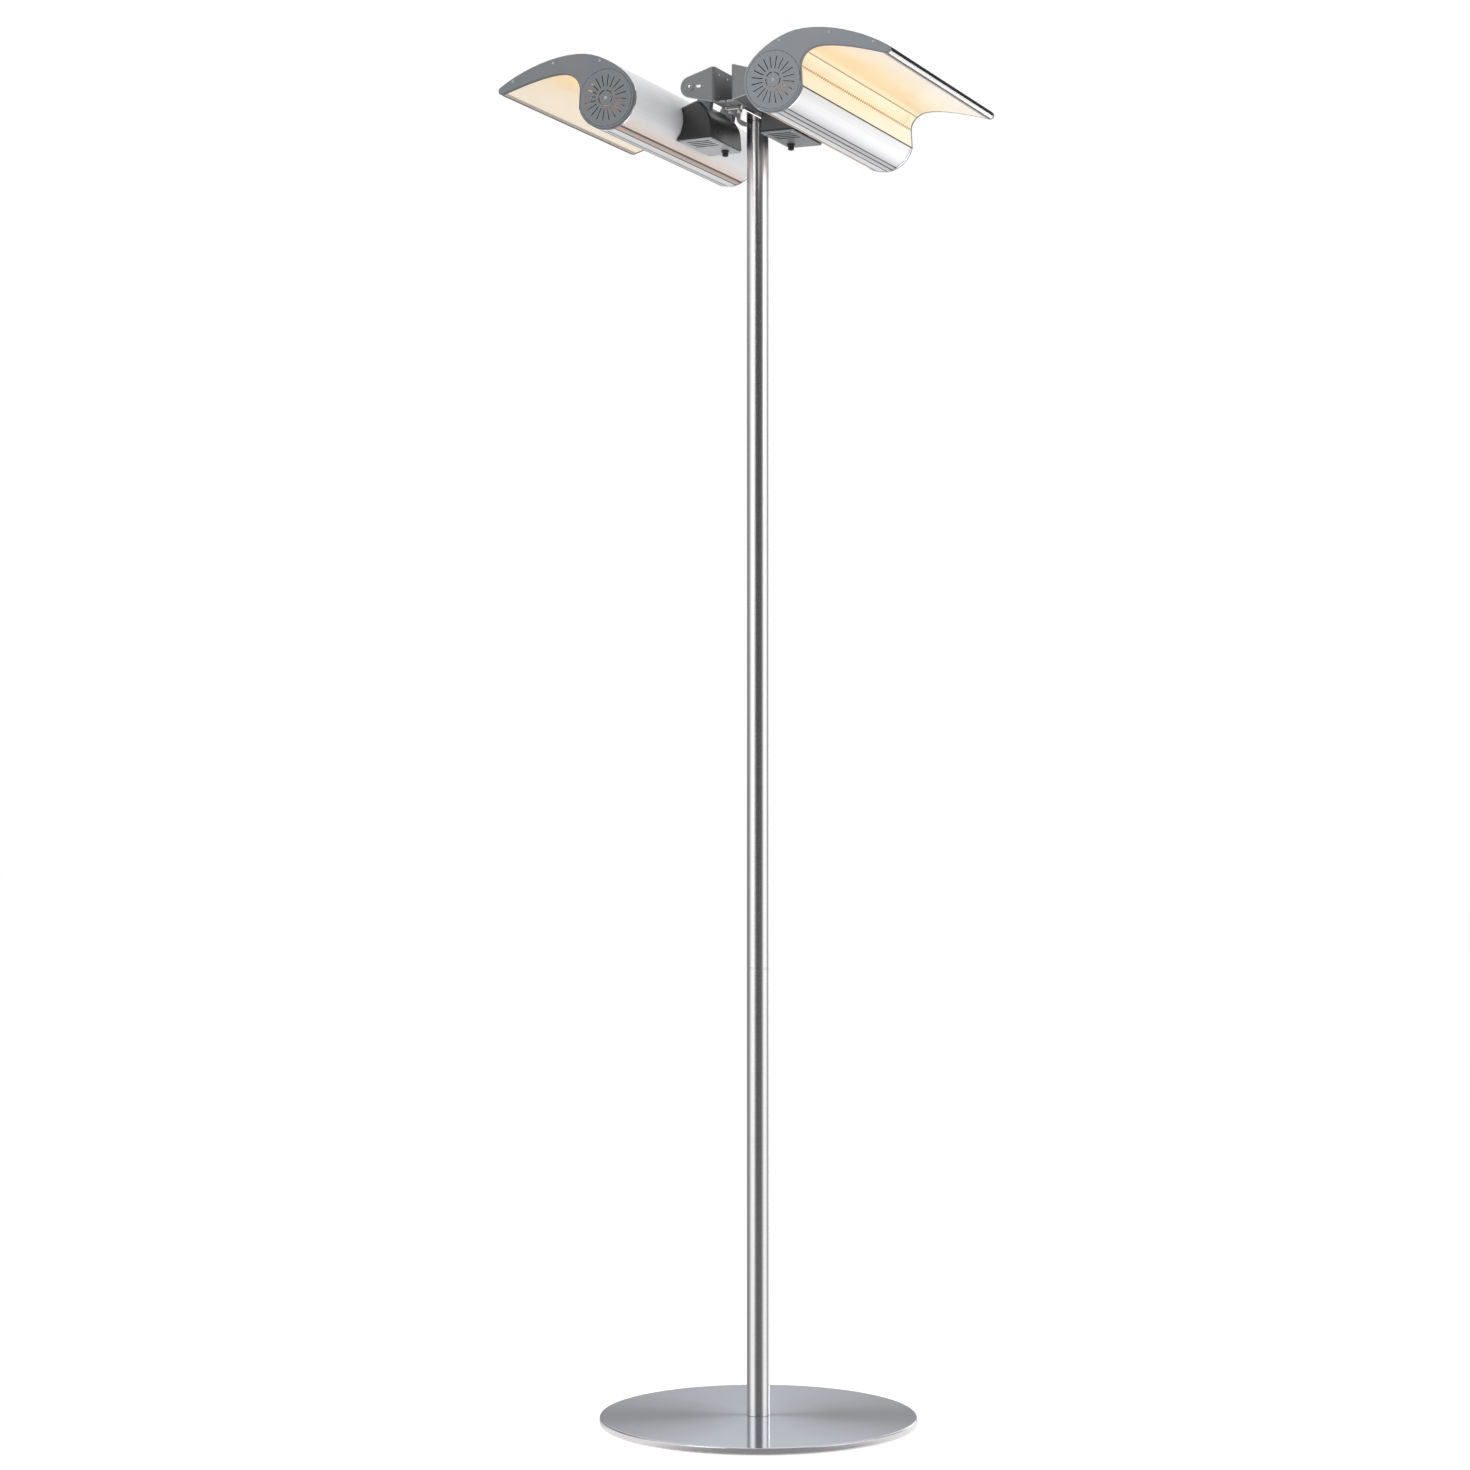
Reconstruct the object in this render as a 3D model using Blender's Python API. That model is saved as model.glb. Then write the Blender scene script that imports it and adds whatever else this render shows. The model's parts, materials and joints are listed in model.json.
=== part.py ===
"""Twin-head patio infrared heater on a round base.

Frame: origin on the floor under the pole, +Z up. The heads reach out along X, the right one towards
+X, and their extrusions run along Y. Lengths are metres, angles are degrees.

A head is modelled once, in its own axes: u outward and w up from the tube's axis, y along the
extrusion, all at no tilt. The left head is the right one mirrored, and both hang from an empty on
their tilt axis.
"""
import math

import bmesh
import bpy
from mathutils import Matrix, Vector
from mathutils.geometry import interpolate_bezier

# Clearances
SEAT_GAP = 0.0003
CUT_OVERRUN = 0.003
RIM_CHAMFER = 0.0010

# Base and pole
PAD_RADIUS = 0.242
PAD_THICKNESS = 0.002
BASE_RADIUS = 0.250
BASE_THICKNESS = 0.009
BASE_CHAMFER = 0.0015
BASE_BOLT_RADIUS = 0.006
BASE_BOLT_HEAD_RADIUS = 0.011
BASE_BOLT_HEAD_HEIGHT = 0.004
BASE_BOLT_REACH = 0.025
POLE_RADIUS = 0.0182
POLE_WALL = 0.0015
POLE_LOWER_LENGTH = 0.7020
POLE_UPPER_LENGTH = 1.3315
POLE_PLUG_HEIGHT = 0.040
COUPLER_REACH = 0.060
COUPLER_WALL = 0.003
COUPLER_RING_HEIGHT = 0.0025

# Cross bar on the pole top
BAR_LENGTH = 0.200
BAR_WIDTH = 0.033
BAR_THICKNESS = 0.006
BAR_CORNER_RADIUS = 0.008
BAR_BOLT_RADIUS = 0.005
BAR_BOLT_HEAD_RADIUS = 0.0095
BAR_BOLT_REACH = 0.025

# Tilt brackets
BRACKET_LENGTH = 0.215
BRACKET_HEIGHT = 0.054
BRACKET_SHEET = 0.003
BRACKET_BEND_RADIUS = 0.005
BRACKET_WEB_X = 0.0138
BRACKET_FLANGE_X = 0.0015
BRACKET_FLANGE_SETBACK = 0.012
BRACKET_BOLT_SPACING = 0.120
BRACKET_BOLT_X = 0.0075
BRACKET_BOLT_RADIUS = 0.0025
BRACKET_BOLT_HEAD_RADIUS = 0.0048
BRACKET_BOLT_HEAD_HEIGHT = 0.0035
EAR_LOBE_RADIUS = 0.0165
EAR_SLOT_SETBACK = 0.0135
EAR_SLOT_LENGTH = 0.009
EAR_SLOT_HEIGHT = 0.004
PIVOT_X = 0.055
PIVOT_RISE = 0.026
SHAFT_RADIUS = 0.005
SHAFT_CAP_RADIUS = 0.0065
SHAFT_CAP_HEIGHT = 0.0016

# Head placing
HEAD_SHIFT_Y = -0.030
HEAD_LENGTH = 0.466
HEAD_TILT = 7.8
PIVOT_U = -0.0774
PIVOT_W = 0.0467

# Head outline
TUBE_RADIUS = 0.0475
LIP_ANGLE = -22.0
SKIN_LEAVES_TUBE_ANGLE = 140.0
CROWN_U = 0.045
CROWN_W = 0.065
NOSE_U = 0.181
NOSE_W = 0.003
NOSE_RADIUS = 0.006
NOSE_TOP_ANGLE = 50.0
NOSE_BOTTOM_ANGLE = -115.0
CREST_U = 0.075
CREST_W = 0.0325
WALL_U = 0.046
WALL_TOP_W = 0.008
SKIN_WALL = 0.0024
LIP_SEAM = 0.0008

# Housing details
GROOVE_ANGLES = (-73.0, -82.0, -93.0, -112.0, -124.0)
GROOVE_WIDTHS = (0.0018, 0.0018, 0.0018, 0.0018, 0.0034)
GROOVE_DEPTH = 0.0011
SCREW_CHANNEL_U_SHARES = (0.09, 0.52, 0.86)
SCREW_CHANNEL_WIDTH = 0.0074
SCREW_CHANNEL_DEPTH = 0.0068
SCREW_SLOT_WIDTH = 0.0026
SCREW_SLOT_DEPTH = 0.0048

# Lining, window and pane
LINING_SHEET = 0.0010
WINDOW_HEIGHT = 0.018
WINDOW_END_MARGIN = 0.020
WINDOW_PLACE_SHARE = 0.60
PANE_START_SHARE = 0.22
PANE_END_SHARE = 0.92
PANE_THICKNESS = 0.003
PANE_END_OVERLAP = 0.005

# Lamp and trough
LAMP_U = 0.010
LAMP_W = 0.004
LAMP_RADIUS = 0.0055
LAMP_BASE_RADIUS = 0.009
LAMP_BASE_LENGTH = 0.030
LAMP_BASE_PROUD = 0.004
LAMP_BASE_BORE_DEPTH = 0.012
HOLDER_SHEET = 0.0015
HOLDER_INSET = 0.014
HOLDER_FRONT_U = 0.034
TROUGH_SHEET = 0.0010
TROUGH_BACK = 0.013
TROUGH_ROUND = 0.020
TROUGH_LOWER_CHEEK = 0.018
TROUGH_UPPER_CHEEK = 0.030

# End caps and vent discs
CAP_THICKNESS = 0.006
CAP_OPENING_RADIUS = 0.0385
DISC_RADIUS = 0.0432
DISC_THICKNESS = 0.0024
DISC_SLOT_COUNT = 20
DISC_SLOT_HALF_WIDTH = 0.00065
DISC_SLOT_INNER_RADIUS = 0.0170
DISC_SLOT_OUTER_RADIUS = 0.0350
DISC_ARC_INNER_RADIUS = 0.0105
DISC_ARC_OUTER_RADIUS = 0.0122
DISC_SLOTS_PER_ARC = 4

# Terminal box
BOX_LENGTH = 0.116
BOX_WALL = 0.0025
BOX_TOP_ANGLE = 150.0
BOX_FOOT_ANGLE = 215.0
BOX_APEX_U = -0.0680
BOX_APEX_W = 0.0375
BOX_SHOULDER_U = -0.0926
BOX_SHOULDER_W = 0.0197
BOX_CREASE_U = -0.0955
BOX_CREASE_W = 0.0070
BOX_FOOT_U = -0.1014
BOX_FOOT_W = -0.0184
BOX_EDGE_RADIUS = 0.006
BOX_END_CHAMFER = 0.002
BOX_ROUNDING_SHARE = 0.62
COVER_THICKNESS = 0.0025
COVER_EDGE_SETBACK = 0.002
COVER_TUBE_SETBACK = 0.006
COVER_SLOT_COUNT = 4
COVER_SLOT_PITCH = 0.0115
COVER_SLOT_WIDTH = 0.006
COVER_SLOT_SETBACK = 0.012
COVER_SLOT_START_SHARE = 0.16
COVER_SLOT_END_SHARE = 0.78
GLAND_U = -0.085
GLAND_Y_SHARE = 0.25
GLAND_FLANGE_RADIUS = 0.0062
GLAND_FLANGE_HEIGHT = 0.003
GLAND_NUT_RADIUS = 0.005
GLAND_LENGTH = 0.0095
GLAND_MOUTH_RADIUS = 0.0032
GLAND_STEM_RADIUS = 0.0042
GLAND_STEM_LENGTH = 0.008
BLOCK_LENGTH = 0.050
BLOCK_DEPTH = 0.016
BLOCK_HEIGHT = 0.014
BLOCK_U = -0.073

# Tilt lugs
LUG_WIDTH = 0.014
LUG_SETBACK = 0.015
LUG_EYE_RADIUS = 0.0095
LUG_SEAT_SHARE = 0.40

# Facets
BASE_STEPS = 48
POLE_STEPS = 32
ROUND_STEPS = 28
SMALL_STEPS = 16
TINY_STEPS = 10
CURVE_STEPS = 7
BEND_STEPS = 4
TUBE_ARC_STEP = 12.0

# Worked out from the sizes above
BASE_BOTTOM_Z = PAD_THICKNESS + SEAT_GAP
BASE_TOP_Z = BASE_BOTTOM_Z + BASE_THICKNESS
POLE_BOTTOM_Z = BASE_TOP_Z + SEAT_GAP
POLE_JOINT_Z = POLE_BOTTOM_Z + POLE_LOWER_LENGTH + SEAT_GAP
POLE_UPPER_Z = POLE_JOINT_Z + COUPLER_RING_HEIGHT + SEAT_GAP
POLE_TOP_Z = POLE_UPPER_Z + POLE_UPPER_LENGTH
POLE_BORE_RADIUS = POLE_RADIUS - POLE_WALL
BAR_BOTTOM_Z = POLE_TOP_Z + SEAT_GAP
BAR_TOP_Z = BAR_BOTTOM_Z + BAR_THICKNESS
BRACKET_BOTTOM_Z = BAR_TOP_Z + SEAT_GAP
PIVOT_Z = BRACKET_BOTTOM_Z + PIVOT_RISE
HOUSING_HALF = HEAD_LENGTH / 2 - CAP_THICKNESS - SEAT_GAP
CAP_BACK_Y = -(HOUSING_HALF + SEAT_GAP)
CAP_FACE_Y = -HEAD_LENGTH / 2
HOLDER_OUTER_Y = -(HOUSING_HALF - HOLDER_INSET)
HOLDER_INNER_Y = HOLDER_OUTER_Y + HOLDER_SHEET
TUBE_BORE_RADIUS = TUBE_RADIUS - SKIN_WALL
WINDOW_HALF = HOUSING_HALF - WINDOW_END_MARGIN

SIDES = (("left", -1), ("right", 1))
ENDS = (("front", 1), ("rear", -1))


def clear_scene():
    """Removes whatever the file starts with."""
    for item in list(bpy.data.objects):
        bpy.data.objects.remove(item, do_unlink=True)


def make_material(name, colour, roughness, metallic=0.0, transmission=0.0):
    """A Principled BSDF with a plain colour."""
    material = bpy.data.materials.new(name)
    material.use_nodes = True
    shader = material.node_tree.nodes["Principled BSDF"]
    shader.inputs["Base Color"].default_value = (*colour, 1.0)
    shader.inputs["Roughness"].default_value = roughness
    shader.inputs["Metallic"].default_value = metallic
    shader.inputs["Transmission Weight"].default_value = transmission
    material.diffuse_color = (*colour, 1.0)
    return material


def make_materials():
    """One material for each kind of finish."""
    return {
        "rubber": make_material("black_rubber", (0.03, 0.03, 0.03), 0.9),
        "brushed": make_material("brushed_stainless", (0.60, 0.60, 0.62), 0.32, 1.0),
        "polished": make_material("polished_stainless", (0.66, 0.65, 0.65), 0.14, 1.0),
        "zinc": make_material("zinc_plated_steel", (0.55, 0.56, 0.58), 0.35, 1.0),
        "bracket": make_material("gray_painted_steel", (0.20, 0.21, 0.22), 0.45, 0.3),
        "aluminium": make_material("brushed_aluminium", (0.84, 0.84, 0.86), 0.28, 1.0),
        "cap": make_material("slate_gray_cast_aluminium", (0.17, 0.19, 0.21), 0.5, 0.2),
        "lining": make_material("warm_gold_reflector", (0.98, 0.80, 0.52), 0.3, 0.6),
        "mirror": make_material("bright_reflector", (0.92, 0.86, 0.74), 0.12, 1.0),
        "pane": make_material("clear_ceramic_glass", (1.0, 0.90, 0.72), 0.05, 0.0, 0.8),
        "quartz": make_material("amber_quartz", (1.0, 0.62, 0.25), 0.1, 0.0, 0.6),
        "ceramic": make_material("white_ceramic", (0.88, 0.86, 0.82), 0.5),
        "box": make_material("black_moulded_plastic", (0.035, 0.036, 0.04), 0.45),
        "cover": make_material("light_gray_plate", (0.55, 0.56, 0.58), 0.45, 0.2),
        "block": make_material("cream_terminal_plastic", (0.80, 0.78, 0.70), 0.5),
    }


def polar(radius, degrees, centre=(0.0, 0.0)):
    """A 2-D point at an angle around a centre."""
    angle = math.radians(degrees)
    return (centre[0] + radius * math.cos(angle), centre[1] + radius * math.sin(angle))


def arc(radius, start, end, steps, centre=(0.0, 0.0)):
    """Points of an arc, both ends included."""
    return [polar(radius, start + (end - start) * i / steps, centre) for i in range(steps + 1)]


def curve(start, start_handle, end_handle, end, steps=CURVE_STEPS):
    """Points of a cubic curve between two ends, both included."""
    flat = [Vector((*point, 0.0)) for point in (start, start_handle, end_handle, end)]
    return [(point.x, point.y) for point in interpolate_bezier(*flat, steps + 1)]


def curve_point(start, start_handle, end_handle, end, share):
    """Point and unit direction at a share of a cubic curve."""
    a, b, c, d = (Vector(point) for point in (start, start_handle, end_handle, end))
    rest = 1.0 - share
    point = rest ** 3 * a + 3 * rest ** 2 * share * b + 3 * rest * share ** 2 * c + share ** 3 * d
    slope = rest ** 2 * (b - a) + 2 * rest * share * (c - b) + share ** 2 * (d - c)
    return point, slope.normalized()


def tangent_angle(point, centre, radius, turn):
    """Angle on a circle where a line from an outside point touches it, on one side or the other."""
    away = Vector(point) - Vector(centre)
    return math.degrees(math.atan2(away.y, away.x) + turn * math.acos(radius / away.length))


def step_from(point, direction, distance):
    """A 2-D point moved along a direction."""
    return (point[0] + direction[0] * distance, point[1] + direction[1] * distance)


def joined(*paths):
    """Paths put end to end, with doubled meeting points dropped."""
    points = []
    for path in paths:
        for point in path:
            if not points or math.dist(point, points[-1]) > SEAT_GAP / 10:
                points.append(point)
    return points


def offset(points, distance, closed=False):
    """The path moved sideways, to the left of its direction where distance is positive."""
    count = len(points)
    moved = []
    for i, point in enumerate(points):
        before = points[i - 1] if closed or i > 0 else point
        after = points[(i + 1) % count] if closed or i < count - 1 else point
        incoming = (Vector(point) - Vector(before)).normalized()
        outgoing = (Vector(after) - Vector(point)).normalized()
        incoming = incoming if incoming.length else outgoing
        outgoing = outgoing if outgoing.length else incoming
        middle = (incoming + outgoing).normalized()
        reach = distance / max(middle.dot(incoming), 0.5)
        moved.append(step_from(point, (-middle.y, middle.x), reach))
    return moved


def strip(points, near, far):
    """Closed outline of a sheet that follows a path, between two distances from it."""
    near_side = offset(points, near) if near else list(points)
    return near_side + offset(points, far)[::-1]


def new_mesh(name, shape, angle=35.0):
    """Turns a bmesh into a mesh with outward faces, smooth except at its edges."""
    bmesh.ops.recalc_face_normals(shape, faces=shape.faces)
    mesh = bpy.data.meshes.new(name)
    shape.to_mesh(mesh)
    shape.free()
    mesh.shade_smooth()
    mesh.set_sharp_from_angle(angle=math.radians(angle))
    return mesh


def loft_loops(loops):
    """A closed shape through loops of equal count, with a flat face on the first and last."""
    shape = bmesh.new()
    rings = [[shape.verts.new(point) for point in loop] for loop in loops]
    count = len(rings[0])
    for lower, upper in zip(rings, rings[1:]):
        for i in range(count):
            j = (i + 1) % count
            shape.faces.new((lower[i], lower[j], upper[j], upper[i]))
    shape.faces.new(rings[0][::-1])
    shape.faces.new(rings[-1])
    return shape


def prism(outline, start_y, end_y):
    """A closed outline in (u, w), extruded along Y."""
    return loft_loops([[(u, y, w) for u, w in outline] for y in (start_y, end_y)])


def upright_prism(outline, start_z, end_z):
    """A closed outline in (x, y), extruded along Z."""
    return loft_loops([[(x, y, z) for x, y in outline] for z in (start_z, end_z)])


def turned(profile, steps=SMALL_STEPS, closed=False):
    """A shape turned about Z from (radius, z) points; an open profile starts and ends on the axis."""
    shape = bmesh.new()
    rings = []
    for radius, z in profile:
        if radius == 0:
            rings.append([shape.verts.new((0, 0, z))])
            continue
        circle = arc(radius, 0, 360, steps)[:-1]
        rings.append([shape.verts.new((x, y, z)) for x, y in circle])
    pairs = list(zip(rings, rings[1:]))
    if closed:
        pairs.append((rings[-1], rings[0]))
    for lower, upper in pairs:
        for i in range(steps):
            j = (i + 1) % steps
            corners = [lower[i % len(lower)], lower[j % len(lower)]]
            corners += [upper[j % len(upper)], upper[i % len(upper)]]
            shape.faces.new(list(dict.fromkeys(corners)))
    return shape


def rod(radius, start_z, end_z, steps=SMALL_STEPS):
    """A plain round rod along Z."""
    return turned([(0, start_z), (radius, start_z), (radius, end_z), (0, end_z)], steps)


def tube_profile(outer, inner, start_z, end_z):
    """Closed turning profile of a plain tube."""
    return [(inner, start_z), (outer, start_z), (outer, end_z), (inner, end_z)]


def along_y(shape, u=0.0, w=0.0):
    """Lays a shape that was turned about Z along Y, through a point (u, w)."""
    bmesh.ops.transform(shape, matrix=Matrix.Rotation(math.radians(-90), 4, "X"), verts=shape.verts)
    bmesh.ops.translate(shape, vec=(u, 0, w), verts=shape.verts)
    return shape


def moved(shape, x=0.0, y=0.0, z=0.0):
    """Shifts a shape."""
    bmesh.ops.translate(shape, vec=(x, y, z), verts=shape.verts)
    return shape


def combined(mesh, tools, operation):
    """The mesh after a Boolean with each tool mesh in turn."""
    target = bpy.data.objects.new("target", mesh)
    bpy.context.collection.objects.link(target)
    helpers = [target]
    for tool in tools:
        helper = bpy.data.objects.new("tool", tool)
        bpy.context.collection.objects.link(helper)
        helpers.append(helper)
        step = target.modifiers.new("step", "BOOLEAN")
        step.operation = operation
        step.object = helper
    bpy.context.view_layer.update()
    graph = bpy.context.evaluated_depsgraph_get()
    result = bpy.data.meshes.new_from_object(target.evaluated_get(graph))
    for helper in helpers:
        bpy.data.objects.remove(helper, do_unlink=True)
    result.shade_smooth()
    result.set_sharp_from_angle(angle=math.radians(35))
    return result


def cut(mesh, shapes):
    """The mesh with shapes taken out of it."""
    return combined(mesh, [new_mesh("cutter", shape) for shape in shapes], "DIFFERENCE")


def fused(mesh, shapes):
    """The mesh with shapes added to it as one body."""
    return combined(mesh, [new_mesh("piece", shape) for shape in shapes], "UNION")


def add(name, mesh, material, parent=None):
    """Links an object under its name."""
    item = bpy.data.objects.new(name, mesh)
    mesh.materials.clear()
    mesh.materials.append(material)
    bpy.context.collection.objects.link(item)
    item.parent = parent
    return item


def mirrored(mesh, x_sign, y_sign):
    """A copy of a mesh, mirrored across X and Y as the signs say."""
    copy = mesh.copy()
    copy.transform(Matrix.Diagonal((x_sign, y_sign, 1, 1)))
    if x_sign * y_sign < 0:
        copy.flip_normals()
    return copy


# Outlines of the head

def crown_curves():
    """The skin from the tube over the crown to the nose."""
    leave = polar(TUBE_RADIUS, SKIN_LEAVES_TUBE_ANGLE)
    heading = polar(1.0, SKIN_LEAVES_TUBE_ANGLE - 90.0)
    crown = (CROWN_U, CROWN_W)
    nose_top = polar(NOSE_RADIUS, NOSE_TOP_ANGLE, (NOSE_U, NOSE_W))
    nose_heading = polar(1.0, NOSE_TOP_ANGLE - 90.0)
    rise_pull = (crown[0] - leave[0]) * 0.32
    fall_pull = (nose_top[0] - crown[0]) * 0.34
    nose_pull = (nose_top[0] - crown[0]) * 0.32
    rising = (leave, step_from(leave, heading, rise_pull), (crown[0] - rise_pull, crown[1]), crown)
    falling = (crown, (crown[0] + fall_pull, crown[1]), step_from(nose_top, nose_heading, -nose_pull), nose_top)
    return rising, falling


def nose_arc():
    """The round front edge of the visor."""
    return arc(NOSE_RADIUS, NOSE_TOP_ANGLE, NOSE_BOTTOM_ANGLE, BEND_STEPS + 1, (NOSE_U, NOSE_W))


def tube_arc():
    """The tube's outside from the lip, round the bottom and back, to where the crown begins."""
    end = SKIN_LEAVES_TUBE_ANGLE - 360.0
    steps = round((LIP_ANGLE - end) / TUBE_ARC_STEP)
    return arc(TUBE_RADIUS, LIP_ANGLE, end, steps)


def grooved_tube_arc():
    """The same arc with the extrusion's grooves along its underside."""
    points = []
    angle = LIP_ANGLE
    for middle, width in zip(GROOVE_ANGLES, GROOVE_WIDTHS):
        half = math.degrees(width / 2 / TUBE_RADIUS)
        steps = max(1, round((angle - middle - half) / TUBE_ARC_STEP))
        points += arc(TUBE_RADIUS, angle, middle + half, steps)
        points += [polar(TUBE_RADIUS - GROOVE_DEPTH, middle + half)]
        points += [polar(TUBE_RADIUS - GROOVE_DEPTH, middle - half)]
        angle = middle - half
    end = SKIN_LEAVES_TUBE_ANGLE - 360.0
    return points + arc(TUBE_RADIUS, angle, end, round((angle - end) / TUBE_ARC_STEP))


def skin_path(grooved=False):
    """The outer skin, clockwise from the lip to the underside of the nose."""
    rising, falling = crown_curves()
    start = grooved_tube_arc() if grooved else tube_arc()
    return joined(start, curve(*rising), curve(*falling, CURVE_STEPS + 3), nose_arc())


def corner_curve():
    """The lining's bend from the crest down into the front wall."""
    bend = (CREST_U - WALL_U) * 0.62
    drop = (CREST_W - WALL_TOP_W) * 0.49
    return ((CREST_U, CREST_W), (CREST_U - bend, CREST_W), (WALL_U, WALL_TOP_W + drop), (WALL_U, WALL_TOP_W))


def lining_path():
    """The lining's open face, from the nose over the crest and down the wall to the lip."""
    nose_bottom = polar(NOSE_RADIUS, NOSE_BOTTOM_ANGLE, (NOSE_U, NOSE_W))
    heading = polar(1.0, NOSE_BOTTOM_ANGLE - 90.0)
    start = step_from(nose_bottom, heading, SEAT_GAP)
    span = start[0] - CREST_U
    crest = (CREST_U, CREST_W)
    underside = (start, step_from(start, heading, span * 0.42), (crest[0] + span * 0.22, crest[1]), crest)
    lip = polar(TUBE_RADIUS, LIP_ANGLE)
    wall = [(WALL_U, WALL_TOP_W), (lip[0], lip[1] + LIP_SEAM)]
    return joined(curve(*underside), curve(*corner_curve()), wall)


def head_outline():
    """The whole closed outline that the end caps cover."""
    return joined(skin_path(), lining_path())


def skin_inner_path():
    """The skin's inside, with the channels that take the end cap screws."""
    outer = skin_path()
    inner = offset(outer, -SKIN_WALL)
    points = []
    for i, point in enumerate(inner):
        points.append(point)
        after = inner[min(i + 1, len(inner) - 1)]
        for share in SCREW_CHANNEL_U_SHARES:
            target = share * NOSE_U
            if point[1] > 0 and point[0] < target <= after[0]:
                blend = (target - point[0]) / (after[0] - point[0])
                middle = Vector(point).lerp(Vector(after), blend)
                along = (Vector(after) - Vector(point)).normalized()
                points += screw_channel(middle, along)
    return points


def screw_channel(middle, along):
    """An open channel on the inside of the skin, drawn along the skin's direction."""
    inward = Vector((along.y, -along.x))
    half, slot = SCREW_CHANNEL_WIDTH / 2, SCREW_SLOT_WIDTH / 2
    deep = SCREW_CHANNEL_DEPTH
    floor = SCREW_CHANNEL_DEPTH - SCREW_SLOT_DEPTH
    corners = [(-half, 0), (-half, deep), (-slot, deep), (-slot, floor)]
    corners += [(slot, floor), (slot, deep), (half, deep), (half, 0)]
    return [tuple(middle + along * a + inward * b) for a, b in corners]


# Pieces of the head, in head axes, each made once

def housing_mesh():
    """The extruded skin of tube and visor."""
    outline = skin_path(grooved=True) + skin_inner_path()[::-1]
    return new_mesh("housing", prism(outline, -HOUSING_HALF, HOUSING_HALF))


def lining_mesh():
    """The warm reflector sheet, with its long window in the bend over the wall."""
    outline = strip(lining_path(), 0, -LINING_SHEET)
    sheet = new_mesh("reflector", prism(outline, -HOUSING_HALF, HOUSING_HALF))
    place, along = curve_point(*corner_curve(), WINDOW_PLACE_SHARE)
    facing = math.degrees(math.atan2(along.y, along.x))
    half = WINDOW_HEIGHT / 2
    straight = WINDOW_HALF - half
    slot = arc(half, 0, 180, CURVE_STEPS, (0, straight)) + arc(half, 180, 360, CURVE_STEPS, (0, -straight))
    cutter = upright_prism(slot, -WINDOW_HEIGHT / 2, WINDOW_HEIGHT / 2)
    turn = Matrix.Rotation(math.radians(-facing), 4, "Y")
    bmesh.ops.transform(cutter, matrix=turn, verts=cutter.verts)
    return cut(sheet, [moved(cutter, place.x, 0, place.y)])


def pane_path():
    """The part of the bend that the pane backs."""
    shares = [PANE_START_SHARE + (PANE_END_SHARE - PANE_START_SHARE) * i / CURVE_STEPS for i in range(CURVE_STEPS + 1)]
    return [tuple(curve_point(*corner_curve(), share)[0]) for share in shares]


def pane_mesh():
    """The curved pane behind the window."""
    near = LINING_SHEET + SEAT_GAP
    half = WINDOW_HALF + PANE_END_OVERLAP
    outline = strip(pane_path(), -near, -near - PANE_THICKNESS)
    return new_mesh("window_pane", prism(outline, -half, half))


def trough_mesh():
    """The bright trough that holds the lamp and opens onto the pane."""
    back = offset(pane_path(), -(LINING_SHEET + PANE_THICKNESS + SEAT_GAP * 3))
    upper, lower = back[0], back[-1]
    place, _ = curve_point(*corner_curve(), WINDOW_PLACE_SHARE)
    lamp = Vector((LAMP_U, LAMP_W))
    axis = (place - lamp).normalized()
    across = (-axis.y, axis.x)
    vertex = step_from(lamp, axis, -TROUGH_BACK)
    bottom = (lower, step_from(lower, axis, -TROUGH_LOWER_CHEEK), step_from(vertex, across, -TROUGH_ROUND), vertex)
    top = (vertex, step_from(vertex, across, TROUGH_ROUND), step_from(upper, axis, -TROUGH_UPPER_CHEEK), upper)
    path = joined(curve(*bottom), curve(*top))
    half = -HOLDER_INNER_Y - SEAT_GAP
    return new_mesh("inner_reflector", prism(strip(path, 0, TROUGH_SHEET), -half, half))


def holder_mesh():
    """The steel plate near the tube's end that carries lamp base and trough."""
    radius = TUBE_BORE_RADIUS - SEAT_GAP * 2
    corner = math.degrees(math.acos(HOLDER_FRONT_U / radius))
    outline = arc(radius, corner, 360.0 - corner, SMALL_STEPS)
    plate = new_mesh("lamp_holder", prism(outline, HOLDER_OUTER_Y, HOLDER_INNER_Y))
    reach = HOLDER_SHEET + CUT_OVERRUN
    hole = along_y(rod(LAMP_BASE_RADIUS + SEAT_GAP, -reach, reach), LAMP_U, LAMP_W)
    return cut(plate, [moved(hole, 0, HOLDER_OUTER_Y, 0)])


def lamp_base_mesh():
    """The ceramic end of the lamp, with the bore that the quartz tube sits in."""
    bore = LAMP_RADIUS + SEAT_GAP
    floor = LAMP_BASE_LENGTH - LAMP_BASE_BORE_DEPTH
    profile = [(0, 0), (LAMP_BASE_RADIUS - RIM_CHAMFER, 0), (LAMP_BASE_RADIUS, RIM_CHAMFER)]
    profile += [(LAMP_BASE_RADIUS, LAMP_BASE_LENGTH), (bore, LAMP_BASE_LENGTH), (bore, floor), (0, floor)]
    shape = along_y(turned(profile, TINY_STEPS), LAMP_U, LAMP_W)
    return new_mesh("lamp_base", moved(shape, 0, HOLDER_OUTER_Y - LAMP_BASE_PROUD, 0))


def lamp_mesh():
    """The quartz tube, from bore to bore of its two bases."""
    start = HOLDER_OUTER_Y - LAMP_BASE_PROUD + LAMP_BASE_LENGTH - LAMP_BASE_BORE_DEPTH + SEAT_GAP
    return new_mesh("lamp", along_y(rod(LAMP_RADIUS, start, -start, TINY_STEPS), LAMP_U, LAMP_W))


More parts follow.
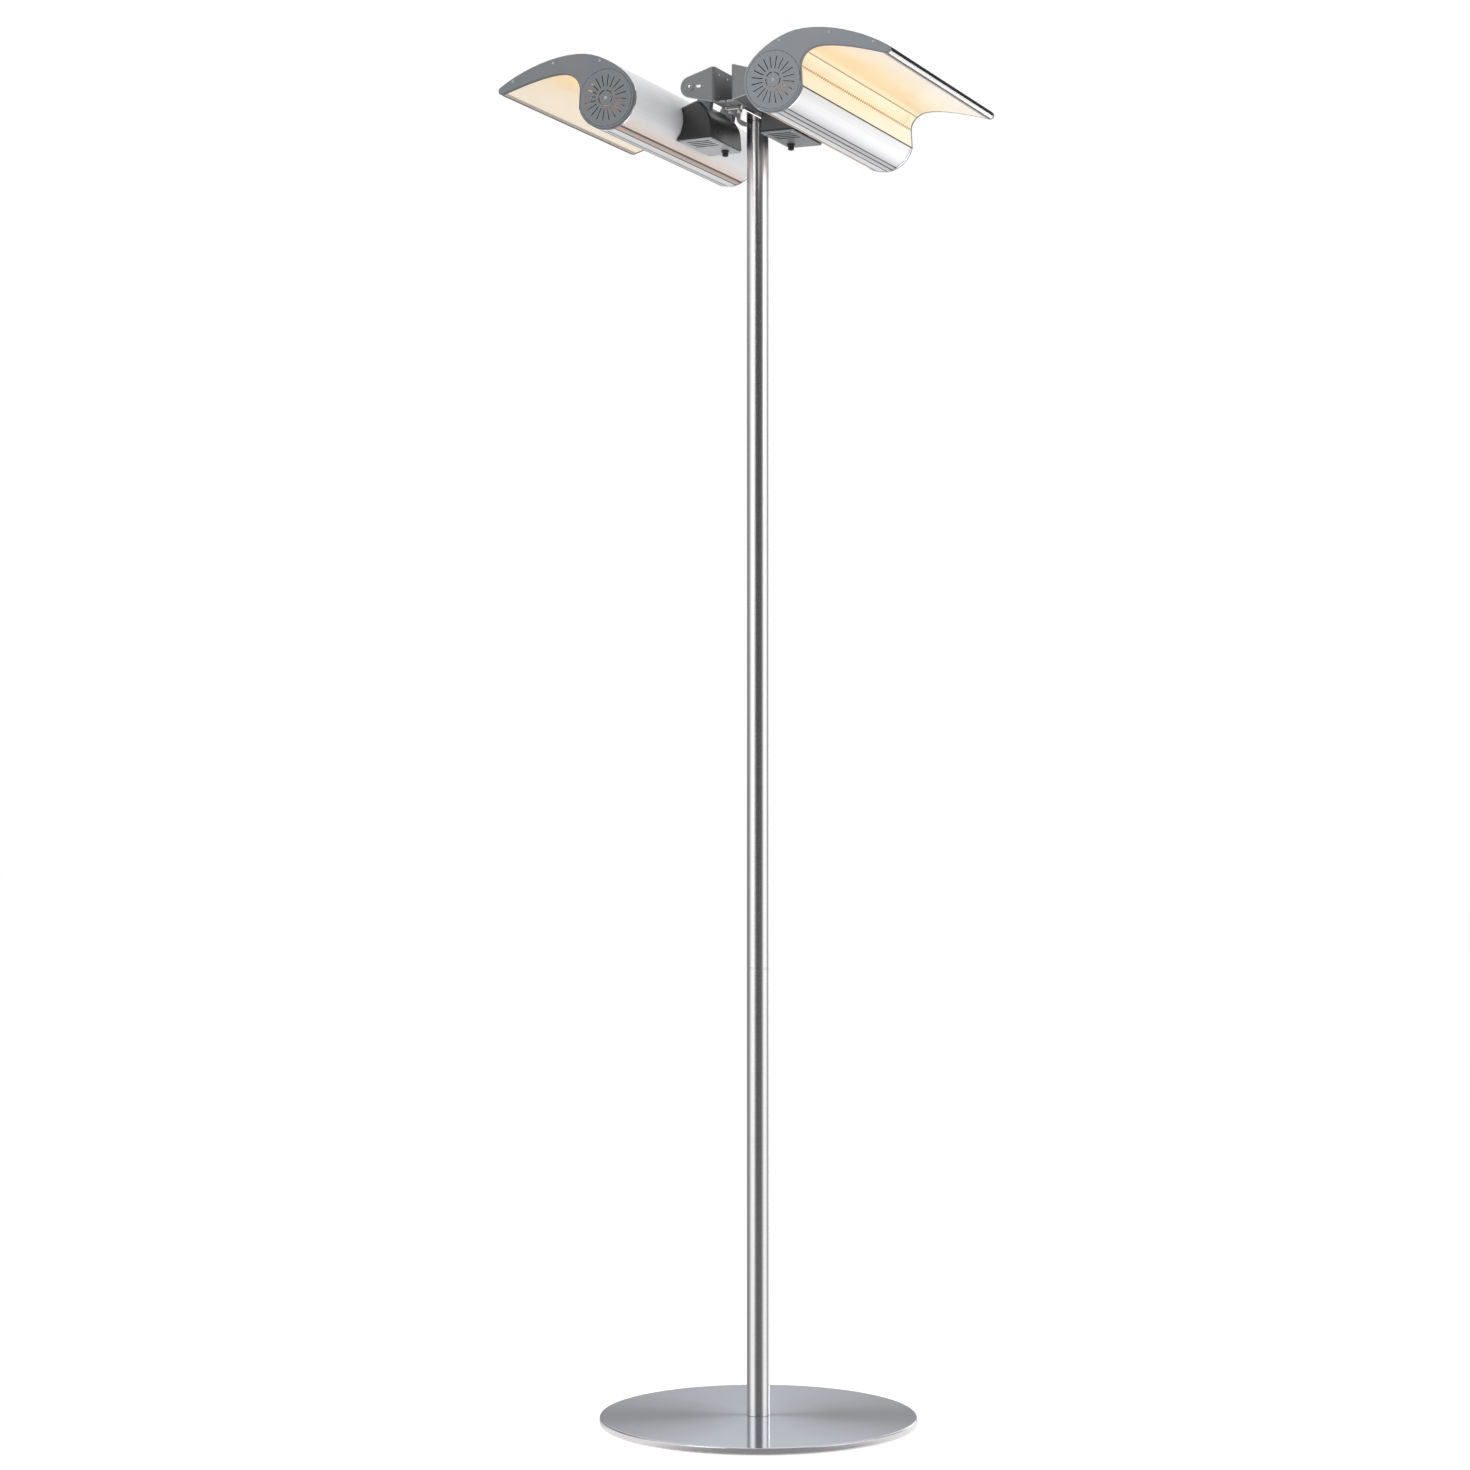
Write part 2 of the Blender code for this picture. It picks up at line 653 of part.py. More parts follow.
def end_cap_mesh():
    """The comma-shaped cap, chamfered, with a stepped opening for its vent disc."""
    outline = head_outline()
    face = offset(outline, -RIM_CHAMFER, closed=True)
    loops = [[(u, CAP_BACK_Y, w) for u, w in outline]]
    loops.append([(u, CAP_FACE_Y + RIM_CHAMFER, w) for u, w in outline])
    loops.append([(u, CAP_FACE_Y, w) for u, w in face])
    cap = new_mesh("end_cap", loft_loops(loops))
    recess = DISC_THICKNESS + SEAT_GAP
    seat_radius = (DISC_RADIUS + SEAT_GAP) / math.cos(math.pi / ROUND_STEPS)
    profile = [(0, -CUT_OVERRUN), (seat_radius, -CUT_OVERRUN), (seat_radius, recess)]
    profile += [(CAP_OPENING_RADIUS, recess), (CAP_OPENING_RADIUS, CAP_THICKNESS + CUT_OVERRUN)]
    profile += [(0, CAP_THICKNESS + CUT_OVERRUN)]
    return cut(cap, [moved(along_y(turned(profile, ROUND_STEPS)), 0, CAP_FACE_Y, 0)])


def vent_ring(shape, radius, shifts):
    """Vertices of one ring of the vent disc, at each slot and each of the shifts from it."""
    ring = []
    for i in range(DISC_SLOT_COUNT):
        for shift in shifts:
            u, w = polar(radius, 360.0 * i / DISC_SLOT_COUNT + shift)
            ring.append(shape.verts.new((u, 0, w)))
    return ring


def vent_disc_mesh():
    """A disc with radial slots and an inner ring of arcs, all cut right through."""
    shape = bmesh.new()
    count = DISC_SLOT_COUNT
    inner_half = math.degrees(math.asin(DISC_SLOT_HALF_WIDTH / DISC_SLOT_INNER_RADIUS))
    outer_half = math.degrees(math.asin(DISC_SLOT_HALF_WIDTH / DISC_SLOT_OUTER_RADIUS))
    hub = vent_ring(shape, DISC_ARC_INNER_RADIUS, (0.0,))
    collar = vent_ring(shape, DISC_ARC_OUTER_RADIUS, (0.0,))
    near = vent_ring(shape, DISC_SLOT_INNER_RADIUS, (-inner_half, inner_half))
    far = vent_ring(shape, DISC_SLOT_OUTER_RADIUS, (-outer_half, outer_half))
    rim = vent_ring(shape, DISC_RADIUS, (0.0, 180.0 / count))
    shape.faces.new(hub)
    for i in range(count):
        j = (i + 1) % count
        left, right, following = 2 * i, 2 * i + 1, 2 * j
        if i % DISC_SLOTS_PER_ARC == 0:
            shape.faces.new((hub[i], hub[j], collar[j], collar[i]))
        shape.faces.new((collar[i], near[right], near[left]))
        shape.faces.new((collar[i], collar[j], near[following], near[right]))
        shape.faces.new((near[right], near[following], far[following], far[right]))
        shape.faces.new((far[left], far[right], rim[left]))
        shape.faces.new((far[right], far[following], rim[following], rim[right], rim[left]))
    raised = bmesh.ops.extrude_face_region(shape, geom=shape.faces[:])
    verts = [item for item in raised["geom"] if isinstance(item, bmesh.types.BMVert)]
    bmesh.ops.translate(shape, vec=(0, DISC_THICKNESS, 0), verts=verts)
    return new_mesh("vent_disc", moved(shape, 0, CAP_FACE_Y, 0))


def box_back_curves():
    """The box's back above its crease: the round apex, and the soft shoulder below it."""
    top = Vector(polar(TUBE_RADIUS + SEAT_GAP, BOX_TOP_ANGLE))
    apex = Vector((BOX_APEX_U, BOX_APEX_W))
    shoulder = Vector((BOX_SHOULDER_U, BOX_SHOULDER_W))
    crease = Vector((BOX_CREASE_U, BOX_CREASE_W))
    start = apex + (top - apex).normalized() * BOX_EDGE_RADIUS
    end = apex + (shoulder - apex).normalized() * BOX_EDGE_RADIUS
    share = BOX_ROUNDING_SHARE
    rounding = (start, start.lerp(apex, share), end.lerp(apex, share), end)
    slope = (end, end.lerp(shoulder, share), crease.lerp(shoulder, share), crease)
    return rounding, slope


def box_outline(inset=0.0):
    """The terminal box's section, counter-clockwise: foot, crease, apex and the hollow of the tube."""
    rounding, slope = box_back_curves()
    back = joined(curve(*rounding, BEND_STEPS), curve(*slope, BEND_STEPS + 1))
    hollow = arc(TUBE_RADIUS + SEAT_GAP, BOX_FOOT_ANGLE, BOX_TOP_ANGLE, CURVE_STEPS)
    points = hollow + back + [(BOX_FOOT_U, BOX_FOOT_W)]
    return offset(points, inset, closed=True) if inset else points


def box_floor():
    """Ends of the box's open bottom: the foot, and the corner beside the tube."""
    return Vector((BOX_FOOT_U, BOX_FOOT_W)), Vector(polar(TUBE_RADIUS + SEAT_GAP, BOX_FOOT_ANGLE))


def terminal_box_mesh():
    """The moulded box, open below."""
    end = BOX_LENGTH / 2
    loops = []
    for y, inset in ((-end, BOX_END_CHAMFER), (BOX_END_CHAMFER - end, 0.0), (end - BOX_END_CHAMFER, 0.0), (end, BOX_END_CHAMFER)):
        loops.append([(u, y, w) for u, w in box_outline(inset)])
    box = new_mesh("terminal_box", loft_loops(loops))
    foot, _, down, _ = floor_axes()
    inner = [Vector(point) for point in box_outline(BOX_WALL)]
    reach = BOX_WALL + CUT_OVERRUN
    lowest = sorted(inner, key=lambda point: (point - foot).dot(down))[-2:]
    cavity = [tuple(point + down * reach) if point in lowest else tuple(point) for point in inner]
    return cut(box, [prism(cavity, BOX_WALL - end, end - BOX_WALL)])


def floor_axes():
    """The box's foot, the direction from it to the tube, the way out of the box, and the length."""
    foot, corner = box_floor()
    along = (corner - foot).normalized()
    return foot, along, Vector((along.y, -along.x)), (corner - foot).length


def on_floor(corners):
    """Outline in head axes from (along, down) pairs measured from the box's foot."""
    foot, along, down, _ = floor_axes()
    return [tuple(foot + along * a + down * b) for a, b in corners]


def terminal_cover_mesh():
    """The plate that closes the box from below, with its vent slots and the gland's hole."""
    length = floor_axes()[3]
    near, far = SEAT_GAP, SEAT_GAP + COVER_THICKNESS
    start, end = COVER_EDGE_SETBACK, length - COVER_TUBE_SETBACK
    half = BOX_LENGTH / 2 - COVER_EDGE_SETBACK
    plate = prism(on_floor([(start, near), (end, near), (end, far), (start, far)]), -half, half)
    cutters = [gland_placed(rod(GLAND_STEM_RADIUS + SEAT_GAP, -CUT_OVERRUN, COVER_THICKNESS + CUT_OVERRUN, TINY_STEPS))]
    left, right = length * COVER_SLOT_START_SHARE, length * COVER_SLOT_END_SHARE
    slot = on_floor([(left, -CUT_OVERRUN), (right, -CUT_OVERRUN), (right, far + CUT_OVERRUN), (left, far + CUT_OVERRUN)])
    for i in range(COVER_SLOT_COUNT):
        y = COVER_SLOT_SETBACK - BOX_LENGTH / 2 + i * COVER_SLOT_PITCH
        cutters.append(prism(slot, y - COVER_SLOT_WIDTH / 2, y + COVER_SLOT_WIDTH / 2))
    return cut(new_mesh("terminal_cover", plate), cutters)


def gland_placed(shape):
    """Moves a shape turned about Z to the gland's place, its +Z into the box."""
    foot, along, down, _ = floor_axes()
    reach = (GLAND_U - foot.x) / along.x
    place = foot + along * reach + down * (COVER_THICKNESS + SEAT_GAP)
    lean = math.atan2(-down.x, -down.y)
    bmesh.ops.transform(shape, matrix=Matrix.Rotation(lean, 4, "Y"), verts=shape.verts)
    return moved(shape, place.x, GLAND_Y_SHARE * BOX_LENGTH, place.y)


def cable_gland_mesh():
    """The gland under the cover, its stem through the cover's hole."""
    top = -SEAT_GAP
    flange = top - GLAND_FLANGE_HEIGHT
    end = top - GLAND_LENGTH
    stem = GLAND_STEM_LENGTH
    profile = [(0, end + GLAND_MOUTH_RADIUS), (GLAND_MOUTH_RADIUS, end)]
    profile += [(GLAND_NUT_RADIUS - RIM_CHAMFER, end), (GLAND_NUT_RADIUS, end + RIM_CHAMFER)]
    profile += [(GLAND_NUT_RADIUS, flange), (GLAND_FLANGE_RADIUS, flange), (GLAND_FLANGE_RADIUS, top)]
    profile += [(GLAND_STEM_RADIUS, top), (GLAND_STEM_RADIUS, stem), (0, stem)]
    return new_mesh("cable_gland", gland_placed(turned(profile, TINY_STEPS)))


def terminal_block_mesh():
    """The terminal block that stands on the cover inside the box."""
    foot, along, _, _ = floor_axes()
    middle = (BLOCK_U - foot.x) / along.x
    left, right = middle - BLOCK_DEPTH / 2, middle + BLOCK_DEPTH / 2
    outline = on_floor([(left, 0), (left, -BLOCK_HEIGHT), (right, -BLOCK_HEIGHT), (right, 0)])
    return new_mesh("terminal_block", prism(outline, -BLOCK_LENGTH / 2, BLOCK_LENGTH / 2))


def lug_mesh():
    """A tilt lug: an eye for the tilt shaft, on a foot that sits on the box's back."""
    rounding, slope = box_back_curves()
    shares = [LUG_SEAT_SHARE * i / BEND_STEPS for i in range(BEND_STEPS + 1)]
    seat = joined(curve(*rounding, BEND_STEPS), [tuple(curve_point(*slope, share)[0]) for share in shares])
    contact = offset(seat, -SEAT_GAP)
    pivot = (PIVOT_U, PIVOT_W)
    start = tangent_angle(contact[-1], pivot, LUG_EYE_RADIUS, -1) + 360.0
    end = tangent_angle(contact[0], pivot, LUG_EYE_RADIUS, 1)
    eye = arc(LUG_EYE_RADIUS, start, end, SMALL_STEPS, pivot)
    middle = -(BOX_LENGTH / 2 - LUG_SETBACK)
    lug = new_mesh("tilt_lug", prism(contact + eye, middle - LUG_WIDTH / 2, middle + LUG_WIDTH / 2))
    reach = LUG_WIDTH / 2 + CUT_OVERRUN
    hole = along_y(rod(SHAFT_RADIUS + SEAT_GAP, -reach, reach), *pivot)
    return cut(lug, [moved(hole, 0, middle, 0)])


def head_pieces(materials):
    """Mesh and material of every piece; pieces that come in pairs are made for the front end."""
    single = {
        "housing": (housing_mesh(), materials["aluminium"]),
        "reflector": (lining_mesh(), materials["lining"]),
        "window_pane": (pane_mesh(), materials["pane"]),
        "inner_reflector": (trough_mesh(), materials["mirror"]),
        "lamp": (lamp_mesh(), materials["quartz"]),
        "terminal_box": (terminal_box_mesh(), materials["box"]),
        "terminal_cover": (terminal_cover_mesh(), materials["cover"]),
        "cable_gland": (cable_gland_mesh(), materials["box"]),
        "terminal_block": (terminal_block_mesh(), materials["block"]),
    }
    paired = {
        "end_cap": (end_cap_mesh(), materials["cap"]),
        "vent_disc": (vent_disc_mesh(), materials["cap"]),
        "lamp_holder": (holder_mesh(), materials["zinc"]),
        "lamp_base": (lamp_base_mesh(), materials["ceramic"]),
        "tilt_lug": (lug_mesh(), materials["bracket"]),
    }
    return single, paired


def add_heads(materials):
    """Both heads, each under an empty on its tilt axis."""
    single, paired = head_pieces(materials)
    for side, sign in SIDES:
        axis = bpy.data.objects.new(f"tilt_axis_{side}", None)
        bpy.context.collection.objects.link(axis)
        axis.location = (sign * PIVOT_X, HEAD_SHIFT_Y, PIVOT_Z)
        axis.rotation_euler = (0, math.radians(-sign * HEAD_TILT), 0)
        origin = Matrix.Translation((-sign * PIVOT_U, 0, -PIVOT_W))
        for name, (mesh, material) in single.items():
            copy = mirrored(mesh, sign, 1)
            copy.transform(origin)
            add(f"{name}_{side}", copy, material, axis)
        for name, (mesh, material) in paired.items():
            for end, y_sign in ENDS:
                copy = mirrored(mesh, sign, y_sign)
                copy.transform(origin)
                add(f"{name}_{side}_{end}", copy, material, axis)


# Stand

def add_base(materials):
    """Pad, plate, the bolt from below and the plug that it holds."""
    pad = turned([(0, 0), (PAD_RADIUS, 0), (PAD_RADIUS, PAD_THICKNESS), (0, PAD_THICKNESS)], BASE_STEPS)
    add("base_pad", new_mesh("base_pad", pad), materials["rubber"])
    hole = BASE_BOLT_RADIUS + SEAT_GAP
    well = BASE_BOLT_HEAD_RADIUS + SEAT_GAP
    well_top = BASE_BOTTOM_Z + BASE_BOLT_HEAD_HEIGHT + SEAT_GAP
    plate = [(well, BASE_BOTTOM_Z), (BASE_RADIUS, BASE_BOTTOM_Z), (BASE_RADIUS, BASE_TOP_Z - BASE_CHAMFER)]
    plate += [(BASE_RADIUS - BASE_CHAMFER, BASE_TOP_Z), (hole, BASE_TOP_Z), (hole, well_top), (well, well_top)]
    add("base_plate", new_mesh("base_plate", turned(plate, BASE_STEPS, closed=True)), materials["brushed"])
    head_top = BASE_BOTTOM_Z + BASE_BOLT_HEAD_HEIGHT
    bolt_top = BASE_TOP_Z + BASE_BOLT_REACH
    bolt = [(0, BASE_BOTTOM_Z), (BASE_BOLT_HEAD_RADIUS, BASE_BOTTOM_Z), (BASE_BOLT_HEAD_RADIUS, head_top)]
    bolt += [(BASE_BOLT_RADIUS, head_top), (BASE_BOLT_RADIUS, bolt_top), (0, bolt_top)]
    add("base_bolt", new_mesh("base_bolt", turned(bolt)), materials["zinc"])
    plug = tube_profile(POLE_BORE_RADIUS - SEAT_GAP, hole, POLE_BOTTOM_Z, POLE_BOTTOM_Z + POLE_PLUG_HEIGHT)
    add("pole_foot_plug", new_mesh("pole_foot_plug", turned(plug, closed=True)), materials["zinc"])


def add_pole(materials):
    """The two sections, and the coupler whose thin ring shows between them."""
    lower = tube_profile(POLE_RADIUS, POLE_BORE_RADIUS, POLE_BOTTOM_Z, POLE_BOTTOM_Z + POLE_LOWER_LENGTH)
    upper = tube_profile(POLE_RADIUS, POLE_BORE_RADIUS, POLE_UPPER_Z, POLE_TOP_Z)
    for name, profile in (("pole_lower", lower), ("pole_upper", upper)):
        add(name, new_mesh(name, turned(profile, POLE_STEPS, closed=True)), materials["polished"])
    sleeve = POLE_BORE_RADIUS - SEAT_GAP
    bore = sleeve - COUPLER_WALL
    ring_top = POLE_JOINT_Z + COUPLER_RING_HEIGHT
    coupler = [(bore, POLE_JOINT_Z - COUPLER_REACH), (sleeve, POLE_JOINT_Z - COUPLER_REACH)]
    coupler += [(sleeve, POLE_JOINT_Z), (POLE_RADIUS, POLE_JOINT_Z), (POLE_RADIUS, ring_top)]
    coupler += [(sleeve, ring_top), (sleeve, ring_top + COUPLER_REACH), (bore, ring_top + COUPLER_REACH)]
    add("pole_coupler", new_mesh("pole_coupler", turned(coupler, POLE_STEPS, closed=True)), materials["polished"])
    bolt_hole = BAR_BOLT_RADIUS + SEAT_GAP
    plug = tube_profile(POLE_BORE_RADIUS - SEAT_GAP, bolt_hole, POLE_TOP_Z - POLE_PLUG_HEIGHT, POLE_TOP_Z)
    add("pole_head_plug", new_mesh("pole_head_plug", turned(plug, closed=True)), materials["zinc"])


def rounded_rectangle(width, length, radius):
    """Outline of a rectangle with round corners, centred, in (x, y)."""
    x, y = width / 2 - radius, length / 2 - radius
    corners = ((x, y, 0), (-x, y, 90), (-x, -y, 180), (x, -y, 270))
    points = []
    for centre_x, centre_y, start in corners:
        points += arc(radius, start, start + 90, BEND_STEPS, (centre_x, centre_y))
    return points


def bracket_bolt_places():
    """Where the bracket bolts pass through the bar: name parts and (x, y)."""
    places = []
    for side, x_sign in SIDES:
        for end, y_sign in ENDS:
            y = HEAD_SHIFT_Y - y_sign * BRACKET_BOLT_SPACING / 2
            places.append((side, end, x_sign * BRACKET_BOLT_X, y))
    return places


def add_cross_bar(materials):
    """The polished bar, with its countersunk bolt into the pole's plug."""
    loops = []
    for z, inset in ((BAR_BOTTOM_Z, RIM_CHAMFER), (BAR_BOTTOM_Z + RIM_CHAMFER, 0.0), (BAR_TOP_Z, 0.0)):
        ring = rounded_rectangle(BAR_WIDTH - 2 * inset, BAR_LENGTH - 2 * inset, BAR_CORNER_RADIUS - inset)
        loops.append([(x, y, z) for x, y in ring])
    bar = new_mesh("cross_bar", loft_loops(loops))
    shaft, head = BAR_BOLT_RADIUS, BAR_BOLT_HEAD_RADIUS
    sink = BAR_TOP_Z - (head - shaft)
    seat = [(0, BAR_BOTTOM_Z - CUT_OVERRUN), (shaft + SEAT_GAP, BAR_BOTTOM_Z - CUT_OVERRUN)]
    seat += [(shaft + SEAT_GAP, sink - SEAT_GAP), (head + SEAT_GAP, BAR_TOP_Z - SEAT_GAP)]
    seat += [(head + SEAT_GAP, BAR_TOP_Z + CUT_OVERRUN), (0, BAR_TOP_Z + CUT_OVERRUN)]
    holes = [turned(seat)]
    for _, _, x, y in bracket_bolt_places():
        hole = rod(BRACKET_BOLT_RADIUS + SEAT_GAP, BAR_BOTTOM_Z - CUT_OVERRUN, BAR_TOP_Z + CUT_OVERRUN, TINY_STEPS)
        holes.append(moved(hole, x, y))
    add("cross_bar", cut(bar, holes), materials["polished"])
    bolt_end = BAR_BOTTOM_Z - BAR_BOLT_REACH
    bolt = [(0, bolt_end), (shaft, bolt_end), (shaft, sink), (head, BAR_TOP_Z), (0, BAR_TOP_Z)]
    add("cross_bar_bolt", new_mesh("cross_bar_bolt", turned(bolt)), materials["zinc"])


def bracket_mesh():
    """The right bracket: a bent channel whose ears narrow to round lobes, with a foot flange."""
    half = BRACKET_LENGTH / 2
    radius = BRACKET_BEND_RADIUS
    reach = PIVOT_X + EAR_LOBE_RADIUS + CUT_OVERRUN
    inner_x = BRACKET_WEB_X + radius
    path = joined([(reach, -half)], arc(radius, 270, 180, BEND_STEPS, (inner_x, -half + radius)),
                  arc(radius, 180, 90, BEND_STEPS, (inner_x, half - radius)), [(reach, half)])
    channel = upright_prism(strip(path, 0, -BRACKET_SHEET), 0, BRACKET_HEIGHT)
    trim = new_mesh("trim", prism(bracket_side_outline(), -half - CUT_OVERRUN, half + CUT_OVERRUN))
    bent = combined(new_mesh("bracket", channel), [trim], "INTERSECT")
    flange_half = half - BRACKET_FLANGE_SETBACK
    edge = BRACKET_WEB_X + BRACKET_SHEET / 2
    flange = [(BRACKET_FLANGE_X, -flange_half), (edge, -flange_half), (edge, flange_half), (BRACKET_FLANGE_X, flange_half)]
    bent = fused(bent, [upright_prism(flange, 0, BRACKET_SHEET)])
    through = half + CUT_OVERRUN
    holes = [along_y(rod(SHAFT_RADIUS + SEAT_GAP, -through, through), PIVOT_X, PIVOT_RISE)]
    holes.append(prism(ear_slot_outline(), -through, through))
    for y_sign in (-1, 1):
        hole = rod(BRACKET_BOLT_RADIUS + SEAT_GAP, -CUT_OVERRUN, BRACKET_SHEET + CUT_OVERRUN, TINY_STEPS)
        holes.append(moved(hole, BRACKET_BOLT_X, y_sign * BRACKET_BOLT_SPACING / 2))
    return cut(bent, holes)


def bracket_side_outline():
    """The ear's outline in (x, z), generous past the web, where the channel itself is the limit."""
    bend_end = BRACKET_WEB_X + BRACKET_BEND_RADIUS
    back = BRACKET_WEB_X - CUT_OVERRUN
    pivot = (PIVOT_X, PIVOT_RISE)
    low, high = (bend_end, 0.0), (bend_end, BRACKET_HEIGHT)
    start = tangent_angle(low, pivot, EAR_LOBE_RADIUS, 1)
    end = tangent_angle(high, pivot, EAR_LOBE_RADIUS, -1)
    side = [(back, -CUT_OVERRUN), (bend_end, -CUT_OVERRUN), low]
    side += arc(EAR_LOBE_RADIUS, start, end, SMALL_STEPS, pivot)
    return side + [high, (bend_end, BRACKET_HEIGHT + CUT_OVERRUN), (back, BRACKET_HEIGHT + CUT_OVERRUN)]


def ear_slot_outline():
    """The short see-through slot between pivot and web."""
    radius = EAR_SLOT_HEIGHT / 2
    middle = PIVOT_X - EAR_SLOT_SETBACK
    straight = EAR_SLOT_LENGTH / 2 - radius
    right = arc(radius, -90, 90, BEND_STEPS, (middle + straight, PIVOT_RISE))
    return right + arc(radius, 90, 270, BEND_STEPS, (middle - straight, PIVOT_RISE))


def bracket_bolt_mesh():
    """A hexagon bolt up through bar and flange, with its nut on top."""
    head_top = BAR_BOTTOM_Z - SEAT_GAP
    head_bottom = head_top - BRACKET_BOLT_HEAD_HEIGHT
    nut_bottom = BRACKET_BOTTOM_Z + BRACKET_SHEET + SEAT_GAP
    nut_top = nut_bottom + BRACKET_BOLT_HEAD_HEIGHT
    shaft = rod(BRACKET_BOLT_RADIUS, head_bottom + RIM_CHAMFER, nut_top + RIM_CHAMFER, TINY_STEPS)
    head = rod(BRACKET_BOLT_HEAD_RADIUS, head_bottom, head_top, 6)
    nut = rod(BRACKET_BOLT_HEAD_RADIUS, nut_bottom, nut_top, 6)
    return fused(new_mesh("bracket_bolt", shaft), [head, nut])


def tilt_shaft_mesh():
    """The tilt shaft from ear to ear, with a low cap outside each."""
    face = BRACKET_LENGTH / 2 + SEAT_GAP
    end = face + SHAFT_CAP_HEIGHT
    rim = SHAFT_CAP_RADIUS - RIM_CHAMFER
    near = [(0, -end), (rim, -end), (SHAFT_CAP_RADIUS, RIM_CHAMFER - end), (SHAFT_CAP_RADIUS, -face), (SHAFT_RADIUS, -face)]
    far = [(radius, -z) for radius, z in near[::-1]]
    return new_mesh("tilt_shaft", along_y(turned(near + far)))


def add_brackets(materials):
    """Both brackets with their bolts and tilt shafts."""
    bracket = bracket_mesh()
    shaft = tilt_shaft_mesh()
    for side, sign in SIDES:
        item = add(f"bracket_{side}", mirrored(bracket, sign, 1), materials["bracket"])
        item.location = (0, HEAD_SHIFT_Y, BRACKET_BOTTOM_Z)
        item = add(f"tilt_shaft_{side}", mirrored(shaft, sign, 1), materials["bracket"])
        item.location = (sign * PIVOT_X, HEAD_SHIFT_Y, PIVOT_Z)
    bolt = bracket_bolt_mesh()
    for side, end, x, y in bracket_bolt_places():
        item = add(f"bracket_bolt_{side}_{end}", bolt.copy(), materials["zinc"])
        item.location = (x, y, 0)


def main():
    clear_scene()
    materials = make_materials()
    add_base(materials)
    add_pole(materials)
    add_cross_bar(materials)
    add_brackets(materials)
    add_heads(materials)
    print("pivot height", round(PIVOT_Z, 4), "pole top", round(POLE_TOP_Z, 4))


main()
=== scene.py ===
"""Looks of the twin-head patio heater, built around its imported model.

Every piece starts from a node of the frame or is placed by one. "u" runs outward and "w" up from a
head's tube axis, in the head's own tilted axes, and y runs along the extrusion.
"""
import json
import math

import bmesh
import bpy
from mathutils import Matrix, Vector

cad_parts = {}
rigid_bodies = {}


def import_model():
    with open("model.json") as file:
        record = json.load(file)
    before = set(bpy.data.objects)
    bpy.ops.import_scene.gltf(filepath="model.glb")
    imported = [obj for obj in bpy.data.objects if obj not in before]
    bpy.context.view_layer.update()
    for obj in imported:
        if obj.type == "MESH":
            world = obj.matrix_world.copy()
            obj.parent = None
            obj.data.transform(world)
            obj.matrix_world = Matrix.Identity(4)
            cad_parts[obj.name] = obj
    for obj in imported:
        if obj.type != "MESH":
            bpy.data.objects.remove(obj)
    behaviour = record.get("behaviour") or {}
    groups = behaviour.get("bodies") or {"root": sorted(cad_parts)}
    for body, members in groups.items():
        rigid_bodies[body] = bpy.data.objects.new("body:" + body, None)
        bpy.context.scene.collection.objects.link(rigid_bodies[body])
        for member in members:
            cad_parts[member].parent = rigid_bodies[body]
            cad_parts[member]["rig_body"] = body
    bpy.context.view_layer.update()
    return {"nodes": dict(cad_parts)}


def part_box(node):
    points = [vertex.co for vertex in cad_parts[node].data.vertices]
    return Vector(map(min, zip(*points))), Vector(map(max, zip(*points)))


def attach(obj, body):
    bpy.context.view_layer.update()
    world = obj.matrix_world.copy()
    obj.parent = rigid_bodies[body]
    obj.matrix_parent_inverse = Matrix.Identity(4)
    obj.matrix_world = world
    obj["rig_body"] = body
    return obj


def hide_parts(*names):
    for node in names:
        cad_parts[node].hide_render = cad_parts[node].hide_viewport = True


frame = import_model()
NODES = frame["nodes"]

SIDES = (("left", -1), ("right", 1))
ENDS = (("front", -1), ("rear", 1))

# Camera, from the photograph's perspective
IMAGE_SIDE = 1470
FOCAL_PIXELS = 3000
HORIZON_ROW = 810
CAMERA_AZIMUTH = 24.0
CAMERA_DISTANCE = 4.732
CAMERA_SIDESTEP = 0.03675
CAMERA_HEIGHT = 0.965
SENSOR_WIDTH = 36.0

# How far a head's u axis rises outward
HEAD_TILT = math.radians(7.8)
# A head's section in (u, w): the tube's radius, the angle about its axis where its skin ends in a
# lip, and the centre and radius of the visor's nose
TUBE_RADIUS = 0.0475
LIP_ANGLE = -22.0
NOSE = (0.181, 0.003)
NOSE_RADIUS = 0.006


def head_place(side):
    """Matrix from a head's own (u, y, w) axes to the frame."""
    sign = dict(SIDES)[side]
    low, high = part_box(f"vent_disc_{side}_front")
    middle = (low + high) / 2
    across, rise = math.cos(HEAD_TILT), math.sin(HEAD_TILT)
    return Matrix(((sign * across, 0, -sign * rise, middle.x), (0, 1, 0, 0),
                   (rise, 0, across, middle.z), (0, 0, 0, 1)))


# Mesh helpers

SHARP_ANGLE = math.radians(30)
ROUNDED_ANGLE = math.radians(32)
FLAT_ANGLE = math.radians(0.5)
WELD = 0.00002
BEVEL_SEGMENTS = 2
ARC_STEPS = 4


def finished(shape):
    """Turns a bmesh into a smooth mesh with sharp edges where faces meet at a clear angle."""
    mesh = bpy.data.meshes.new("piece")
    shape.to_mesh(mesh)
    shape.free()
    mesh.shade_smooth()
    mesh.set_sharp_from_angle(angle=SHARP_ANGLE)
    return mesh


def new_object(name, mesh):
    """Links a mesh under a name."""
    item = bpy.data.objects.new(name, mesh)
    bpy.context.scene.collection.objects.link(item)
    return item


def even_normals(piece):
    """Keeps large faces flat in the shading beside their rounded edges."""
    piece.modifiers.new("flat_faces", "WEIGHTED_NORMAL").keep_sharp = True


